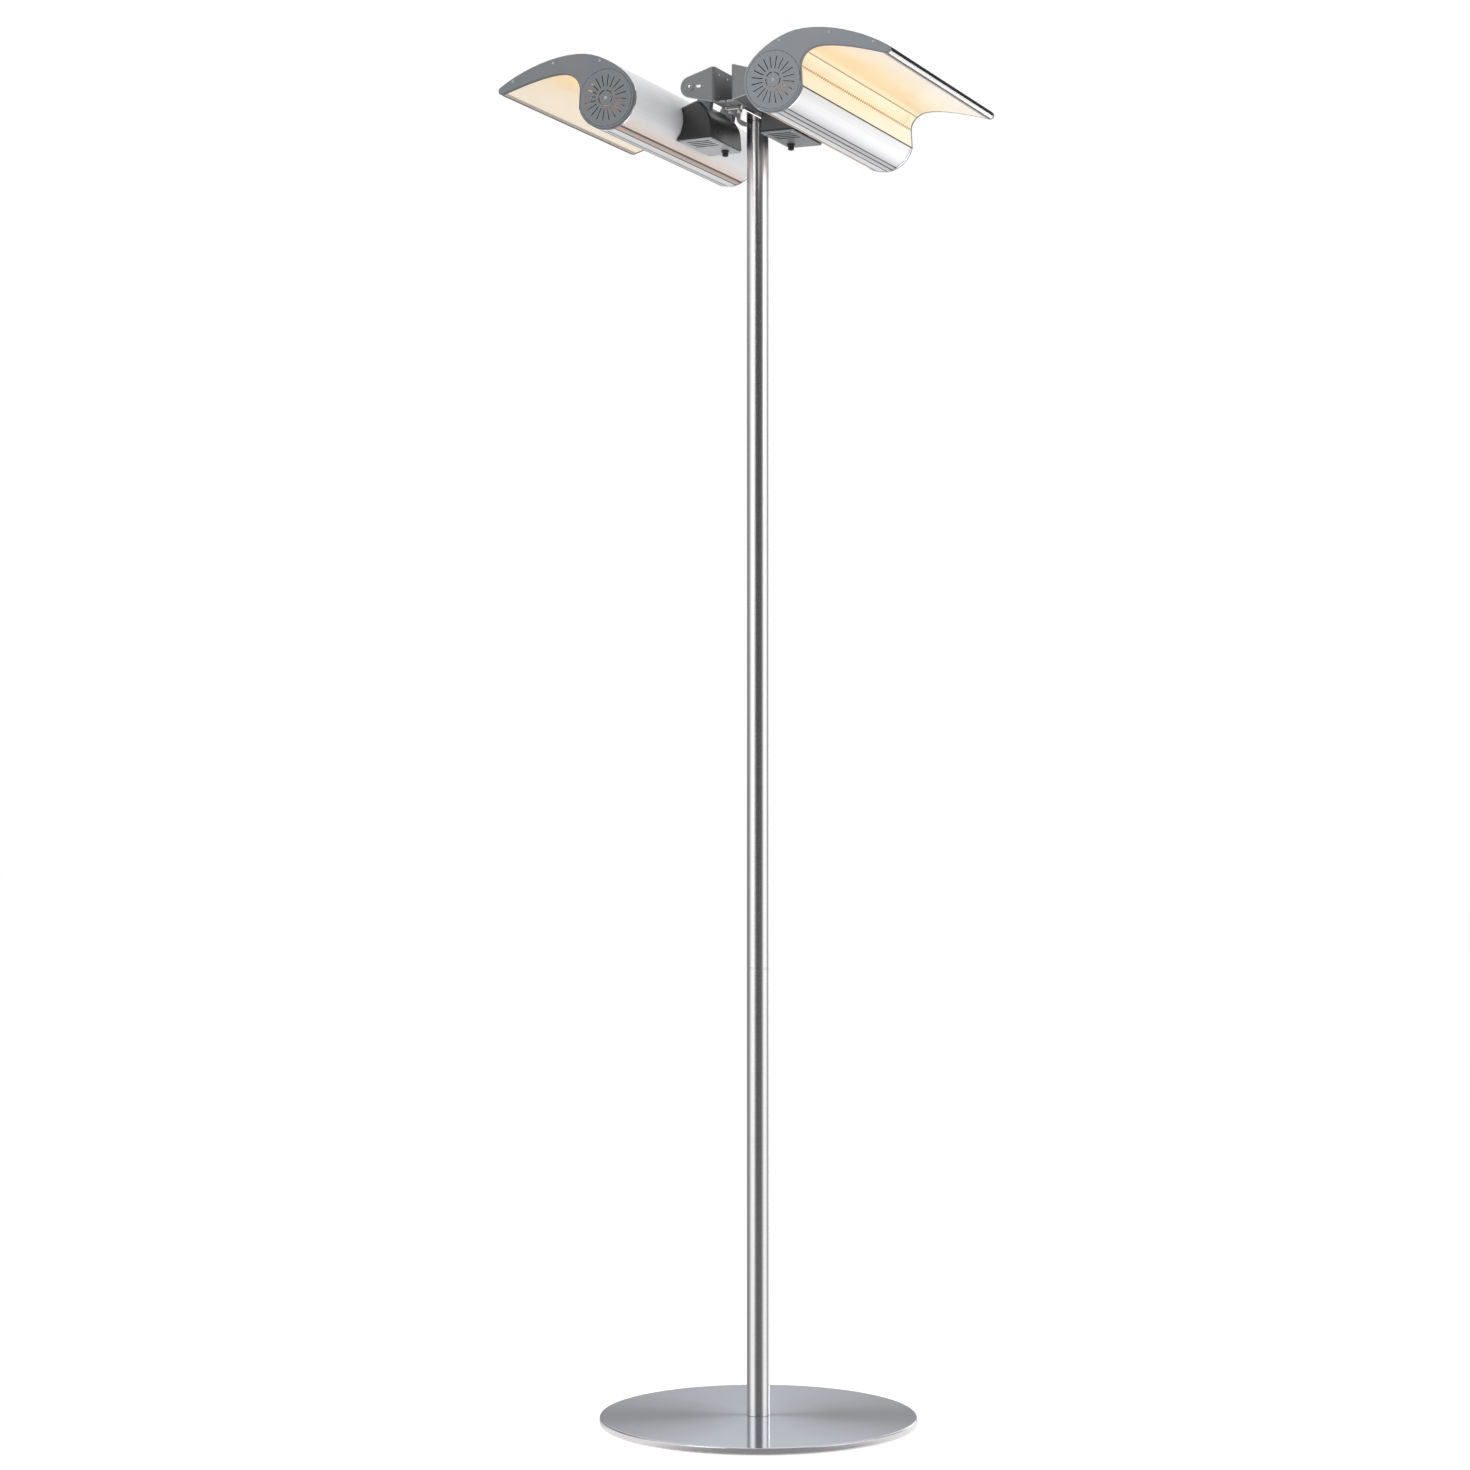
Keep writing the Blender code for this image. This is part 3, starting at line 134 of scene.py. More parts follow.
def dressed(node, radius=0.0):
    """A piece in a node's shape, with its edges rounded, that stands for the node."""
    shape = bmesh.new()
    shape.from_mesh(NODES[node].data)
    bmesh.ops.remove_doubles(shape, verts=shape.verts, dist=WELD)
    bmesh.ops.dissolve_limit(shape, angle_limit=FLAT_ANGLE, verts=shape.verts, edges=shape.edges)
    if radius:
        edges = [edge for edge in shape.edges if edge.calc_face_angle(0.0) > ROUNDED_ANGLE]
        bmesh.ops.bevel(shape, geom=edges, offset=radius, segments=BEVEL_SEGMENTS, profile=0.5,
                        affect="EDGES", clamp_overlap=True)
    piece = new_object(node + "_finish", finished(shape))
    if radius:
        even_normals(piece)
    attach(piece, NODES[node]["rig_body"])
    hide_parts(node)
    return piece


def coat(piece, material):
    """Gives a piece its material."""
    piece.data.materials.clear()
    piece.data.materials.append(material)


def polar(radius, angle, centre=(0.0, 0.0)):
    """A point at an angle in degrees about a centre."""
    turn = math.radians(angle)
    return centre[0] + radius * math.cos(turn), centre[1] + radius * math.sin(turn)


def join_rings(shape, rings):
    """Faces between rings of points, each ring with the next one."""
    faces = []
    for lower, upper in zip(rings, rings[1:]):
        for i in range(len(lower)):
            j = (i + 1) % len(lower)
            faces.append(shape.faces.new((lower[i], lower[j], upper[j], upper[i])))
    return faces


def lathe(name, profile, steps):
    """A piece turned about the z axis from a closed (radius, z) profile."""
    shape = bmesh.new()
    rings = []
    for radius, z in profile:
        rings.append([shape.verts.new((*polar(radius, 360 * i / steps), z)) for i in range(steps)])
    join_rings(shape, rings + rings[:1])
    bmesh.ops.recalc_face_normals(shape, faces=shape.faces)
    return new_object(name, finished(shape))


def rounded_profile(corners, radius):
    """A closed (radius, z) profile with each corner rounded by an arc of Bezier shape."""
    points = []
    for i, corner in enumerate(corners):
        here = Vector(corner)
        before, after = Vector(corners[i - 1]), Vector(corners[(i + 1) % len(corners)])
        reach = min(radius, (before - here).length / 2, (after - here).length / 2)
        start = here + (before - here).normalized() * reach
        end = here + (after - here).normalized() * reach
        for k in range(ARC_STEPS + 1):
            t = k / ARC_STEPS
            points.append(tuple(start * (1 - t) ** 2 + here * 2 * t * (1 - t) + end * t * t))
    return points


# Shader helpers

SOCKET = bpy.types.NodeSocket


def fill(tree, item, inputs):
    """Fills a node's inputs, each with a number, a colour, a vector or another node's socket."""
    for key, value in inputs.items():
        if isinstance(value, SOCKET):
            tree.links.new(value, item.inputs[key])
        else:
            item.inputs[key].default_value = value


def put(tree, kind, inputs=None, **settings):
    """Adds a shader node with its settings and inputs."""
    item = tree.nodes.new("ShaderNode" + kind)
    for key, value in settings.items():
        setattr(item, key, value)
    fill(tree, item, inputs or {})
    return item


def maths(tree, operation, *values):
    """Output of a Math node."""
    return put(tree, "Math", dict(enumerate(values)), operation=operation).outputs[0]


def ranged(tree, value, low, high, start=0.0, end=1.0):
    """Value moved from one range to another."""
    return put(tree, "MapRange", {"Value": value, "From Min": low, "From Max": high,
                                  "To Min": start, "To Max": end}).outputs[0]


def distance(tree, first, second):
    """Length of a vector with two components."""
    flat = put(tree, "CombineXYZ", {0: first, 1: second}).outputs[0]
    return put(tree, "VectorMath", {0: flat}, operation="LENGTH").outputs["Value"]


def mixed(tree, share, first, second, blend="MIX"):
    """Colour between two colours, each a socket or three numbers."""
    ends = [end if isinstance(end, SOCKET) else (*end, 1.0) for end in (first, second)]
    item = put(tree, "Mix", {0: share, 6: ends[0], 7: ends[1]}, data_type="RGBA", blend_type=blend)
    return item.outputs[2]


def ramp(tree, value, *stops):
    """Colour of a ramp with (position, colour) stops."""
    item = put(tree, "ValToRGB", {"Fac": value})
    elements = item.color_ramp.elements
    while len(elements) < len(stops):
        elements.new(0.5)
    for element, (position, colour) in zip(elements, stops):
        element.position = position
        element.color = (*colour, 1.0)
    return item.outputs["Color"]


def noise(tree, vector, scale, detail, roughness=0.5):
    """Value of a noise texture."""
    return put(tree, "TexNoise", {"Vector": vector, "Scale": scale, "Detail": detail,
                                  "Roughness": roughness}).outputs["Fac"]


def stretched(tree, scale):
    """Object coordinates times a scale for each axis."""
    place = put(tree, "TexCoord").outputs["Object"]
    return put(tree, "Mapping", {"Vector": place, "Scale": scale}).outputs[0]


def relief(tree, strength, depth, height):
    """Normal of a fine relief."""
    return put(tree, "Bump", {"Strength": strength, "Distance": depth, "Height": height}).outputs[0]


def edge_mask(tree, radius):
    """Rises to one along edges, where a rounded normal leaves the true one."""
    soft = put(tree, "Bevel", {"Radius": radius}, samples=6).outputs[0]
    true = put(tree, "NewGeometry").outputs["Normal"]
    facing_share = put(tree, "VectorMath", {0: soft, 1: true}, operation="DOT_PRODUCT").outputs["Value"]
    return ranged(tree, facing_share, 0.995, 0.80)


def smear(tree, axis, anisotropic, rotation):
    """Stretches the highlights about an axis: around it, or with a quarter turn across that."""
    tangent = put(tree, "Tangent", direction_type="RADIAL", axis=axis).outputs[0]
    fill(tree, tree.nodes["Principled BSDF"], {"Anisotropic": anisotropic, "Tangent": tangent,
                                               "Anisotropic Rotation": rotation})


def shade(colour, factor):
    """A colour made darker or lighter."""
    return tuple(min(1.0, channel * factor) for channel in colour)


def bare_material(name):
    """A material with an empty tree."""
    material = bpy.data.materials.new(name)
    material.use_nodes = True
    material.node_tree.nodes.clear()
    return material, material.node_tree


def new_material(name):
    """A material, its tree and its Principled shader."""
    material = bpy.data.materials.new(name)
    material.use_nodes = True
    tree = material.node_tree
    return material, tree, tree.nodes["Principled BSDF"]


# Camera and white surroundings

WHITE = (1, 1, 1, 1)
WORLD_LIGHT = 0.62
FLOOR_HALF = 30.0
FLOOR_WHITE = 0.93
# Glow that brings the lit floor up to full white where it is seen
FLOOR_LIFT = 1.0 - FLOOR_WHITE * WORLD_LIGHT


def add_camera():
    """The camera at the photograph's place."""
    data = bpy.data.cameras.new("camera")
    data.sensor_width = SENSOR_WIDTH
    data.lens = SENSOR_WIDTH * FOCAL_PIXELS / IMAGE_SIDE
    data.shift_y = (HORIZON_ROW - IMAGE_SIDE / 2) / IMAGE_SIDE
    camera = bpy.data.objects.new("camera", data)
    turn = math.radians(CAMERA_AZIMUTH)
    back = Vector((math.sin(turn), -math.cos(turn), 0)) * CAMERA_DISTANCE
    aside = Vector((math.cos(turn), math.sin(turn), 0)) * -CAMERA_SIDESTEP
    camera.location = back + aside + Vector((0, 0, CAMERA_HEIGHT))
    camera.rotation_euler = (math.radians(90), 0, turn)
    bpy.context.scene.collection.objects.link(camera)
    bpy.context.scene.camera = camera


def seen_directly(tree):
    """One for rays from the camera, a reflection or glass, which see the white as it is."""
    path = put(tree, "LightPath")
    seen = maths(tree, "MAXIMUM", path.outputs["Is Camera Ray"], path.outputs["Is Glossy Ray"])
    return maths(tree, "MAXIMUM", seen, path.outputs["Is Transmission Ray"])


def add_world():
    """White surroundings; what only lights the object is a little lower than what is seen."""
    world = bpy.data.worlds.new("studio")
    bpy.context.scene.world = world
    world.use_nodes = True
    tree = world.node_tree
    tree.nodes.clear()
    strength = ranged(tree, seen_directly(tree), 0.0, 1.0, WORLD_LIGHT, 1.0)
    shader = put(tree, "Background", {"Color": WHITE, "Strength": strength})
    tree.links.new(shader.outputs[0], put(tree, "OutputWorld").inputs["Surface"])


def add_floor():
    """A wide pale floor that takes the object's shadow and meets the white surroundings."""
    shape = bmesh.new()
    bmesh.ops.create_grid(shape, x_segments=1, y_segments=1, size=FLOOR_HALF)
    floor = new_object("floor", finished(shape))
    material, tree = bare_material("floor")
    lift = maths(tree, "MULTIPLY", seen_directly(tree), FLOOR_LIFT)
    plain = put(tree, "BsdfDiffuse", {"Color": (FLOOR_WHITE,) * 3 + (1,)})
    glow = put(tree, "Emission", {"Color": WHITE, "Strength": lift})
    both = put(tree, "AddShader", {0: plain.outputs[0], 1: glow.outputs[0]})
    tree.links.new(both.outputs[0], put(tree, "OutputMaterial").inputs["Surface"])
    floor.data.materials.append(material)


# Studio wall and its own low floor, seen only in the metal's reflections
WALL_INNER_RADIUS = 0.050
WALL_RADIUS = 3.6
WALL_TOP = 6.5
WALL_STEPS = 72
# Its floor lies this high over the base plate and outside it, with a step this far from the plate's rim
WALL_LIFT = 0.0125
WALL_FOOT = 0.0004
WALL_STEP_GAP = 0.0015
# Radius of the pole that mirrors the wall, for the angle at which it shows a place on its floor
POLE_RADIUS = 0.018
# Azimuth from the camera's in degrees, and the wall's level there
WALL_BRIGHTEST = 2.4
WALL_LEVELS = (
    (-180, 0.40), (-130, 0.30), (-112, 0.27), (-94, 0.50), (-77, 1.20), (-50, 1.28), (-38, 0.70),
    (-31, 0.34), (-24, 0.13), (0, 0.085), (30, 0.13), (40, 0.34), (50, 0.85), (60, 1.28), (86, 1.22),
    (99, 0.66), (112, 0.30), (122, 0.36), (130, 1.10), (136, 2.40), (150, 2.40), (159, 0.40), (180, 0.40),
)
# Bright field behind the object: its level, and where its sides, its foot and its top fade in
WALL_BACK_LEVEL = 1.6
WALL_BACK_AZIMUTHS = (math.radians(160), math.radians(170))
WALL_BACK_FOOT = (0.80, 1.20)
WALL_BACK_TOP = (2.0, 1.6)
# Away from the camera plain white lies over the bands, from this height and these azimuths on
WALL_BAND_TOP = (2.9, 3.0)
WALL_SIDE_AZIMUTHS = (math.radians(60), math.radians(85))
# Toward the floor the bands fade by a share to one level
WALL_FLOOR_FROM = 0.3
WALL_FLOOR_FADE = 0.25
WALL_FLOOR_LEVEL = 0.385


def wall_shape():
    """The wall's floor, with the step round the base plate, and the wall that rises from it."""
    shape = bmesh.new()
    rings = []
    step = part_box("base_plate")[1].x + WALL_STEP_GAP
    for radius, z in ((WALL_INNER_RADIUS, WALL_LIFT), (step, WALL_LIFT), (step, WALL_FOOT),
                      (WALL_RADIUS, WALL_FOOT), (WALL_RADIUS, WALL_TOP)):
        rings.append(bmesh.ops.create_circle(shape, segments=WALL_STEPS, radius=radius)["verts"])
        bmesh.ops.translate(shape, vec=(0, 0, z), verts=rings[-1])
    join_rings(shape, rings[::-1])
    return finished(shape)


def wall_gray(level):
    """Gray for a level on the wall, whose glow then multiplies it by the brightest."""
    return (level / WALL_BRIGHTEST,) * 3


def wall_colour(tree):
    """Gray whose brightness changes with azimuth, which gives polished metal its bands."""
    turned = put(tree, "VectorRotate", {"Vector": put(tree, "TexCoord").outputs["Object"],
                                        "Angle": math.radians(-CAMERA_AZIMUTH)}, rotation_type="Z_AXIS")
    x, y, height = put(tree, "SeparateXYZ", {0: turned.outputs[0]}).outputs
    azimuth = maths(tree, "ARCTAN2", x, maths(tree, "MULTIPLY", y, -1.0))
    share = maths(tree, "SUBTRACT", 2.0, maths(tree, "DIVIDE", POLE_RADIUS, distance(tree, x, y)))
    shown = maths(tree, "DIVIDE", maths(tree, "MULTIPLY", azimuth, 2.0), share)
    stops = [((degrees + 180) / 360, wall_gray(level)) for degrees, level in WALL_LEVELS]
    bands = ramp(tree, ranged(tree, shown, -math.pi, math.pi), *stops)
    aside = maths(tree, "ABSOLUTE", azimuth)
    behind = ranged(tree, aside, *WALL_BACK_AZIMUTHS)
    behind = maths(tree, "MULTIPLY", ranged(tree, height, *WALL_BACK_FOOT), behind)
    behind = maths(tree, "MULTIPLY", ranged(tree, height, *WALL_BACK_TOP), behind)
    colour = mixed(tree, behind, bands, wall_gray(WALL_BACK_LEVEL))
    above = ranged(tree, height, *WALL_BAND_TOP)
    above = maths(tree, "MULTIPLY", above, ranged(tree, aside, *WALL_SIDE_AZIMUTHS))
    colour = mixed(tree, above, colour, wall_gray(1.0))
    low = ranged(tree, height, WALL_FLOOR_FROM, 0.0, 0.0, WALL_FLOOR_FADE)
    return mixed(tree, low, colour, wall_gray(WALL_FLOOR_LEVEL))


def add_wall():
    """A round wall whose inner face glows; its back is clear, and only reflections see it."""
    wall = new_object("studio_wall", wall_shape())
    material, tree = bare_material("studio_wall")
    glow = put(tree, "Emission", {"Color": wall_colour(tree), "Strength": WALL_BRIGHTEST})
    clear = put(tree, "BsdfTransparent")
    back_face = put(tree, "NewGeometry").outputs["Backfacing"]
    both = put(tree, "MixShader", {0: back_face, 1: glow.outputs[0], 2: clear.outputs[0]})
    tree.links.new(both.outputs[0], put(tree, "OutputMaterial").inputs["Surface"])
    wall.data.materials.append(material)
    for ray in ("camera", "diffuse", "transmission", "shadow"):
        setattr(wall, "visible_" + ray, False)


# Lamps: name, azimuth from the camera's, distance, height, size, power, seen in reflections
LAMPS = (
    ("key", -48, 3.4, 3.6, 2.2, 46, True),
    ("fill", 62, 3.6, 2.2, 2.0, 14, True),
    ("top", 180, 1.2, 4.2, 2.6, 16, False),
)
LAMP_AIM = Vector((0, 0, 1.3))


def add_lamps():
    """Soft lamps that aim at the upper half of the object."""
    for name, azimuth, away, height, size, power, mirrored in LAMPS:
        data = bpy.data.lights.new(name, "AREA")
        data.size = size
        data.energy = power
        lamp = bpy.data.objects.new(name, data)
        angle = math.radians(CAMERA_AZIMUTH + azimuth)
        lamp.location = (away * math.sin(angle), -away * math.cos(angle), height)
        lamp.rotation_euler = (LAMP_AIM - lamp.location).to_track_quat("-Z", "Y").to_euler()
        lamp.visible_camera = False
        lamp.visible_glossy = mirrored
        bpy.context.scene.collection.objects.link(lamp)


# Finishes

# Spans of a noise's values over which a tone goes from its one end to its other
NOISE_WIDE = (0.25, 0.75)
NOISE_MIDDLE = (0.3, 0.7)
NOISE_NARROW = (0.35, 0.65)
# Depth of the grain in paint and of the lines in metal
PAINT_RELIEF = 0.0004
METAL_RELIEF = 0.0002
# Scale of each finish's clouds, and how far their roughness swings
PAINT_CLOUDS = 18.0
METAL_CLOUDS = 9.0
GLOW_CLOUDS = 60.0
HEAT_CLOUDS = 90.0
PAINT_SWING = 0.06
METAL_SWING_SHARES = (0.8, 1.25)
GLOW_SWING = 0.05
# Turn of the highlights, as a share of a whole turn, that sets them across the lines
ACROSS = 0.25


def painted_material(name, colour, roughness, grain, spread, bump, edge_wear_and_highlight=None, edge_wear_and_highlight_radius=0.0012,
                     metallic=0.0):
    """Sprayed or moulded surface: fine grain, faint clouds and, where given, brighter edges, partly worn
    paint and partly a painted highlight.
    """
    material, tree, shader = new_material(name)
    place = stretched(tree, (1, 1, 1))
    fine = noise(tree, place, grain, 2.0)
    clouds = noise(tree, place, PAINT_CLOUDS, 4.0)
    bright = shade(colour, 1 + spread)
    base = mixed(tree, ranged(tree, fine, *NOISE_MIDDLE), shade(colour, 1 - spread), bright)
    base = mixed(tree, ranged(tree, clouds, *NOISE_NARROW, 0.0, 0.35), base, bright)
    # Brighter edges: partly worn paint, partly painted highlight where the edges catch light
    if edge_wear_and_highlight:
        base = mixed(tree, edge_mask(tree, edge_wear_and_highlight_radius), base, edge_wear_and_highlight)
    gloss = ranged(tree, clouds, *NOISE_MIDDLE, roughness - PAINT_SWING, roughness + PAINT_SWING)
    fill(tree, shader, {"Base Color": base, "Roughness": gloss, "Metallic": metallic,
                        "Normal": relief(tree, bump, PAINT_RELIEF, fine)})
    return material


def dull(material, level):
    """Lowers the gloss of a painted or rubber surface."""
    material.node_tree.nodes["Principled BSDF"].inputs["Specular IOR Level"].default_value = level
    return material


def brushed_material(name, colour, roughness, lines, spread, bump):
    """Metal with fine lines; lines holds the noise scale for each axis, low along the lines."""
    material, tree, shader = new_material(name)
    streaks = noise(tree, stretched(tree, lines), 1.0, 4.0, 0.6)
    clouds = noise(tree, stretched(tree, (1, 1, 1)), METAL_CLOUDS, 3.0)
    dark = shade(colour, 1 - spread)
    base = mixed(tree, ranged(tree, streaks, *NOISE_MIDDLE), dark, shade(colour, 1 + spread))
    base = mixed(tree, ranged(tree, clouds, *NOISE_MIDDLE, 0.0, 0.25), base, dark)
    gloss = ranged(tree, streaks, *NOISE_WIDE, *[roughness * share for share in METAL_SWING_SHARES])
    fill(tree, shader, {"Base Color": base, "Roughness": gloss, "Metallic": 1.0,
                        "Normal": relief(tree, bump, METAL_RELIEF, streaks)})
    return material


def pole_material():
    """Polished tube: fine lines around it, which smear what it mirrors along its length."""
    material = brushed_material("polished_steel", (0.80, 0.79, 0.80), 0.19, (30, 30, 1500), 0.03, 0.0)
    smear(material.node_tree, "Z", 1.0, ACROSS)
    return material


PLATE_COLOUR = (0.535, 0.560, 0.675)
PLATE_SIDE_COLOUR = (0.72, 0.69, 0.70)
# Depths below the plate's top between which its side's tone takes over
PLATE_SIDE_DEPTHS = (0.0006, 0.0016)
# Lines and sectors: how often the noise changes outward per metre
PLATE_LINES = 900.0
PLATE_SECTORS = 0.8
# Painted light and shade in sectors turned to the camera: share from dark sectors to bright ones, and level
PLATE_PAINTED_LIGHT = ((0.0, 0.47), (0.25, 0.51), (0.55, 0.65), (0.85, 0.84), (1.0, 1.0))
# Radii between which the painted light and shade fade out toward the middle
PLATE_PAINTED_LIGHT_RADII = (0.12, 0.03)


def plate_material():
    """Turned stainless plate: rings of fine lines, faint sectors, painted light and shade in sectors, and a
    polished reflection.
    """
    material, tree, shader = new_material("brushed_plate")
    x, y, height = put(tree, "SeparateXYZ", {0: put(tree, "TexCoord").outputs["Object"]}).outputs
    angle = maths(tree, "ARCTAN2", y, x)
    radius = distance(tree, x, y)
    around = {0: maths(tree, "COSINE", angle), 1: maths(tree, "SINE", angle)}
    rings = put(tree, "CombineXYZ", {**around, 2: maths(tree, "MULTIPLY", radius, PLATE_LINES)})
    streaks = noise(tree, rings.outputs[0], 1.0, 3.0)
    rays = put(tree, "CombineXYZ", {**around, 2: maths(tree, "MULTIPLY", radius, PLATE_SECTORS)})
    sectors = noise(tree, rays.outputs[0], 3.2, 2.0)
    dark, bright = shade(PLATE_COLOUR, 0.97), shade(PLATE_COLOUR, 1.03)
    base = mixed(tree, ranged(tree, streaks, *NOISE_MIDDLE), dark, bright)
    base = mixed(tree, ranged(tree, sectors, *NOISE_NARROW), base, shade(PLATE_COLOUR, 1.08))
    # Painted light and shade: the colour is darker and lighter in sectors set by the camera's azimuth
    turned = maths(tree, "SUBTRACT", angle, math.radians(CAMERA_AZIMUTH))
    painted_light = maths(tree, "ABSOLUTE", maths(tree, "SINE", turned))
    painted_light = ramp(tree, painted_light, *[(share, (level,) * 3) for share, level in PLATE_PAINTED_LIGHT])
    painted_light = mixed(tree, ranged(tree, radius, *PLATE_PAINTED_LIGHT_RADII), painted_light, (1.0,) * 3)
    base = mixed(tree, 1.0, base, painted_light, "MULTIPLY")
    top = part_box("base_plate")[1].z
    side = ranged(tree, height, *[top - depth for depth in PLATE_SIDE_DEPTHS])
    fill(tree, shader, {"Base Color": mixed(tree, side, base, PLATE_SIDE_COLOUR), "Metallic": 0.70,
                        "Roughness": ranged(tree, streaks, *NOISE_WIDE, 0.135, 0.165),
                        "Coat Weight": 1.0, "Coat Roughness": 0.03,
                        "Normal": relief(tree, 0.015, METAL_RELIEF, streaks)})
    smear(tree, "Z", 1.0, ACROSS)
    return material


def head_axes(tree, side):
    """Sockets for u and w in one head's axes."""
    place = head_place(side)
    here = put(tree, "TexCoord").outputs["Object"]
    sockets = []
    for column in (0, 2):
        axis = place.col[column].to_3d()
        along = put(tree, "VectorMath", {0: here, 1: axis}, operation="DOT_PRODUCT").outputs["Value"]
        sockets.append(maths(tree, "SUBTRACT", along, axis.dot(place.translation)))
    return sockets


# Colour, share of metal and roughness of each extrusion; the left colour is painted lighter to make up for
# shade
TUBE_COLOUR_WITH_PAINTED_LIGHT = {"left": (0.93, 0.935, 0.95), "right": (0.88, 0.885, 0.90)}
TUBE_GLOSS = {"left": (0.10, 0.55), "right": (0.35, 0.42)}
# Distances from the tube's axis between which the marks under the tube fade in
TUBE_MARKS = (0.0485, 0.0478)
# Grooves under the tube, their shade painted dark: angle about its axis, and half the dark line's width, in
# degrees
GROOVES = ((-73, 1.3), (-82, 1.3), (-93, 1.3), (-112, 1.3), (-124, 2.2))
GROOVE_EDGE_SHARES = (1.25, 0.75)
GROOVE_SHADE_COLOUR = (0.085, 0.068, 0.058)
GROOVE_SHADE_STRENGTH = 0.85
# Painted shade and glow between the grooves, multiplied in: angle about the tube and colour
RIB_PAINTED_SHADE_AND_GLOW = (
    (-152, (1.0, 1.0, 1.0)), (-134, (1.0, 0.87, 0.79)), (-127, (0.96, 0.78, 0.68)),
    (-121, (0.62, 0.48, 0.40)), (-114, (0.68, 0.57, 0.50)), (-109, (0.97, 0.96, 0.95)),
    (-100, (0.95, 0.95, 0.95)), (-95, (0.74, 0.73, 0.74)), (-90, (0.88, 0.88, 0.89)),
    (-84, (0.62, 0.61, 0.62)), (-70, (0.66, 0.65, 0.66)), (-62, (0.82, 0.82, 0.83)),
    (-48, (1.0, 1.0, 1.0)),
)


def groove_shade_marks(tree, angle):
    """One in a groove under the tube, where shade is painted, and zero between the grooves."""
    marks = None
    for middle, half in GROOVES:
        gap = maths(tree, "ABSOLUTE", maths(tree, "SUBTRACT", angle, middle))
        mark = ranged(tree, gap, *[half * share for share in GROOVE_EDGE_SHARES])
        marks = mark if marks is None else maths(tree, "MAXIMUM", marks, mark)
    return marks


def aluminium_material(side):
    """Extruded aluminium, brushed along y, with painted shade in the grooves under the tube and painted shade
    and glow between them.
    """
    metallic, roughness = TUBE_GLOSS[side]
    material = brushed_material(f"extruded_aluminium_{side}", TUBE_COLOUR_WITH_PAINTED_LIGHT[side], roughness,
                                (900, 5, 900), 0.06, 0.05)
    tree = material.node_tree
    shader = tree.nodes["Principled BSDF"]
    smear(tree, "Y", 0.7, 0.0)
    u, w = head_axes(tree, side)
    angle = maths(tree, "MULTIPLY", maths(tree, "ARCTAN2", w, u), math.degrees(1))
    on_tube = ranged(tree, distance(tree, u, w), *TUBE_MARKS)
    # Painted shade: dark lines in the grooves under the tube
    groove_shade = maths(tree, "MULTIPLY", on_tube, GROOVE_SHADE_STRENGTH)
    groove_shade = maths(tree, "MULTIPLY", groove_shade_marks(tree, angle), groove_shade)
    # Painted shade in gray and brown bands, and a pink glow, between the grooves
    first, last = RIB_PAINTED_SHADE_AND_GLOW[0][0], RIB_PAINTED_SHADE_AND_GLOW[-1][0]
    stops = [((degrees - first) / (last - first), colour) for degrees, colour in RIB_PAINTED_SHADE_AND_GLOW]
    tint = ramp(tree, ranged(tree, angle, first, last), *stops)
    plain = shader.inputs["Base Color"].links[0].from_socket
    base = mixed(tree, on_tube, plain, mixed(tree, 1.0, plain, tint, "MULTIPLY"))
    fill(tree, shader, {"Base Color": mixed(tree, groove_shade, base, GROOVE_SHADE_COLOUR), "Metallic": metallic})
    return material


# The lining's strongest, middle and palest tone, partly its own colour and partly painted lamp light, per
# head, and the painted shade along the nose
AMBER = {"left": (0.95, 0.66, 0.32), "right": (0.94, 0.72, 0.44)}
CREAM = (0.93, 0.82, 0.64)
PALE = {"left": (0.95, 0.85, 0.70), "right": (0.93, 0.85, 0.75)}
NOSE_SHADE = (0.42, 0.37, 0.33)
# Painted glow: the lining gives off light in its own colours, for the lamp's light on it
LINING_PAINTED_GLOW = 0.24
# Where the front wall's tones run in w and the visor's in u, and how far a noise shifts each
LINING_WALL = (-0.020, 0.0325)
LINING_WALL_SHIFT = 0.002
LINING_VISOR = (0.060, 0.185)
LINING_VISOR_SHIFT = 0.05
# Where in u the wall turns into the visor, and where the painted shade along the nose starts
LINING_TURN = (0.062, 0.072)
LINING_NOSE_SHADE = (0.1722, 0.1738)


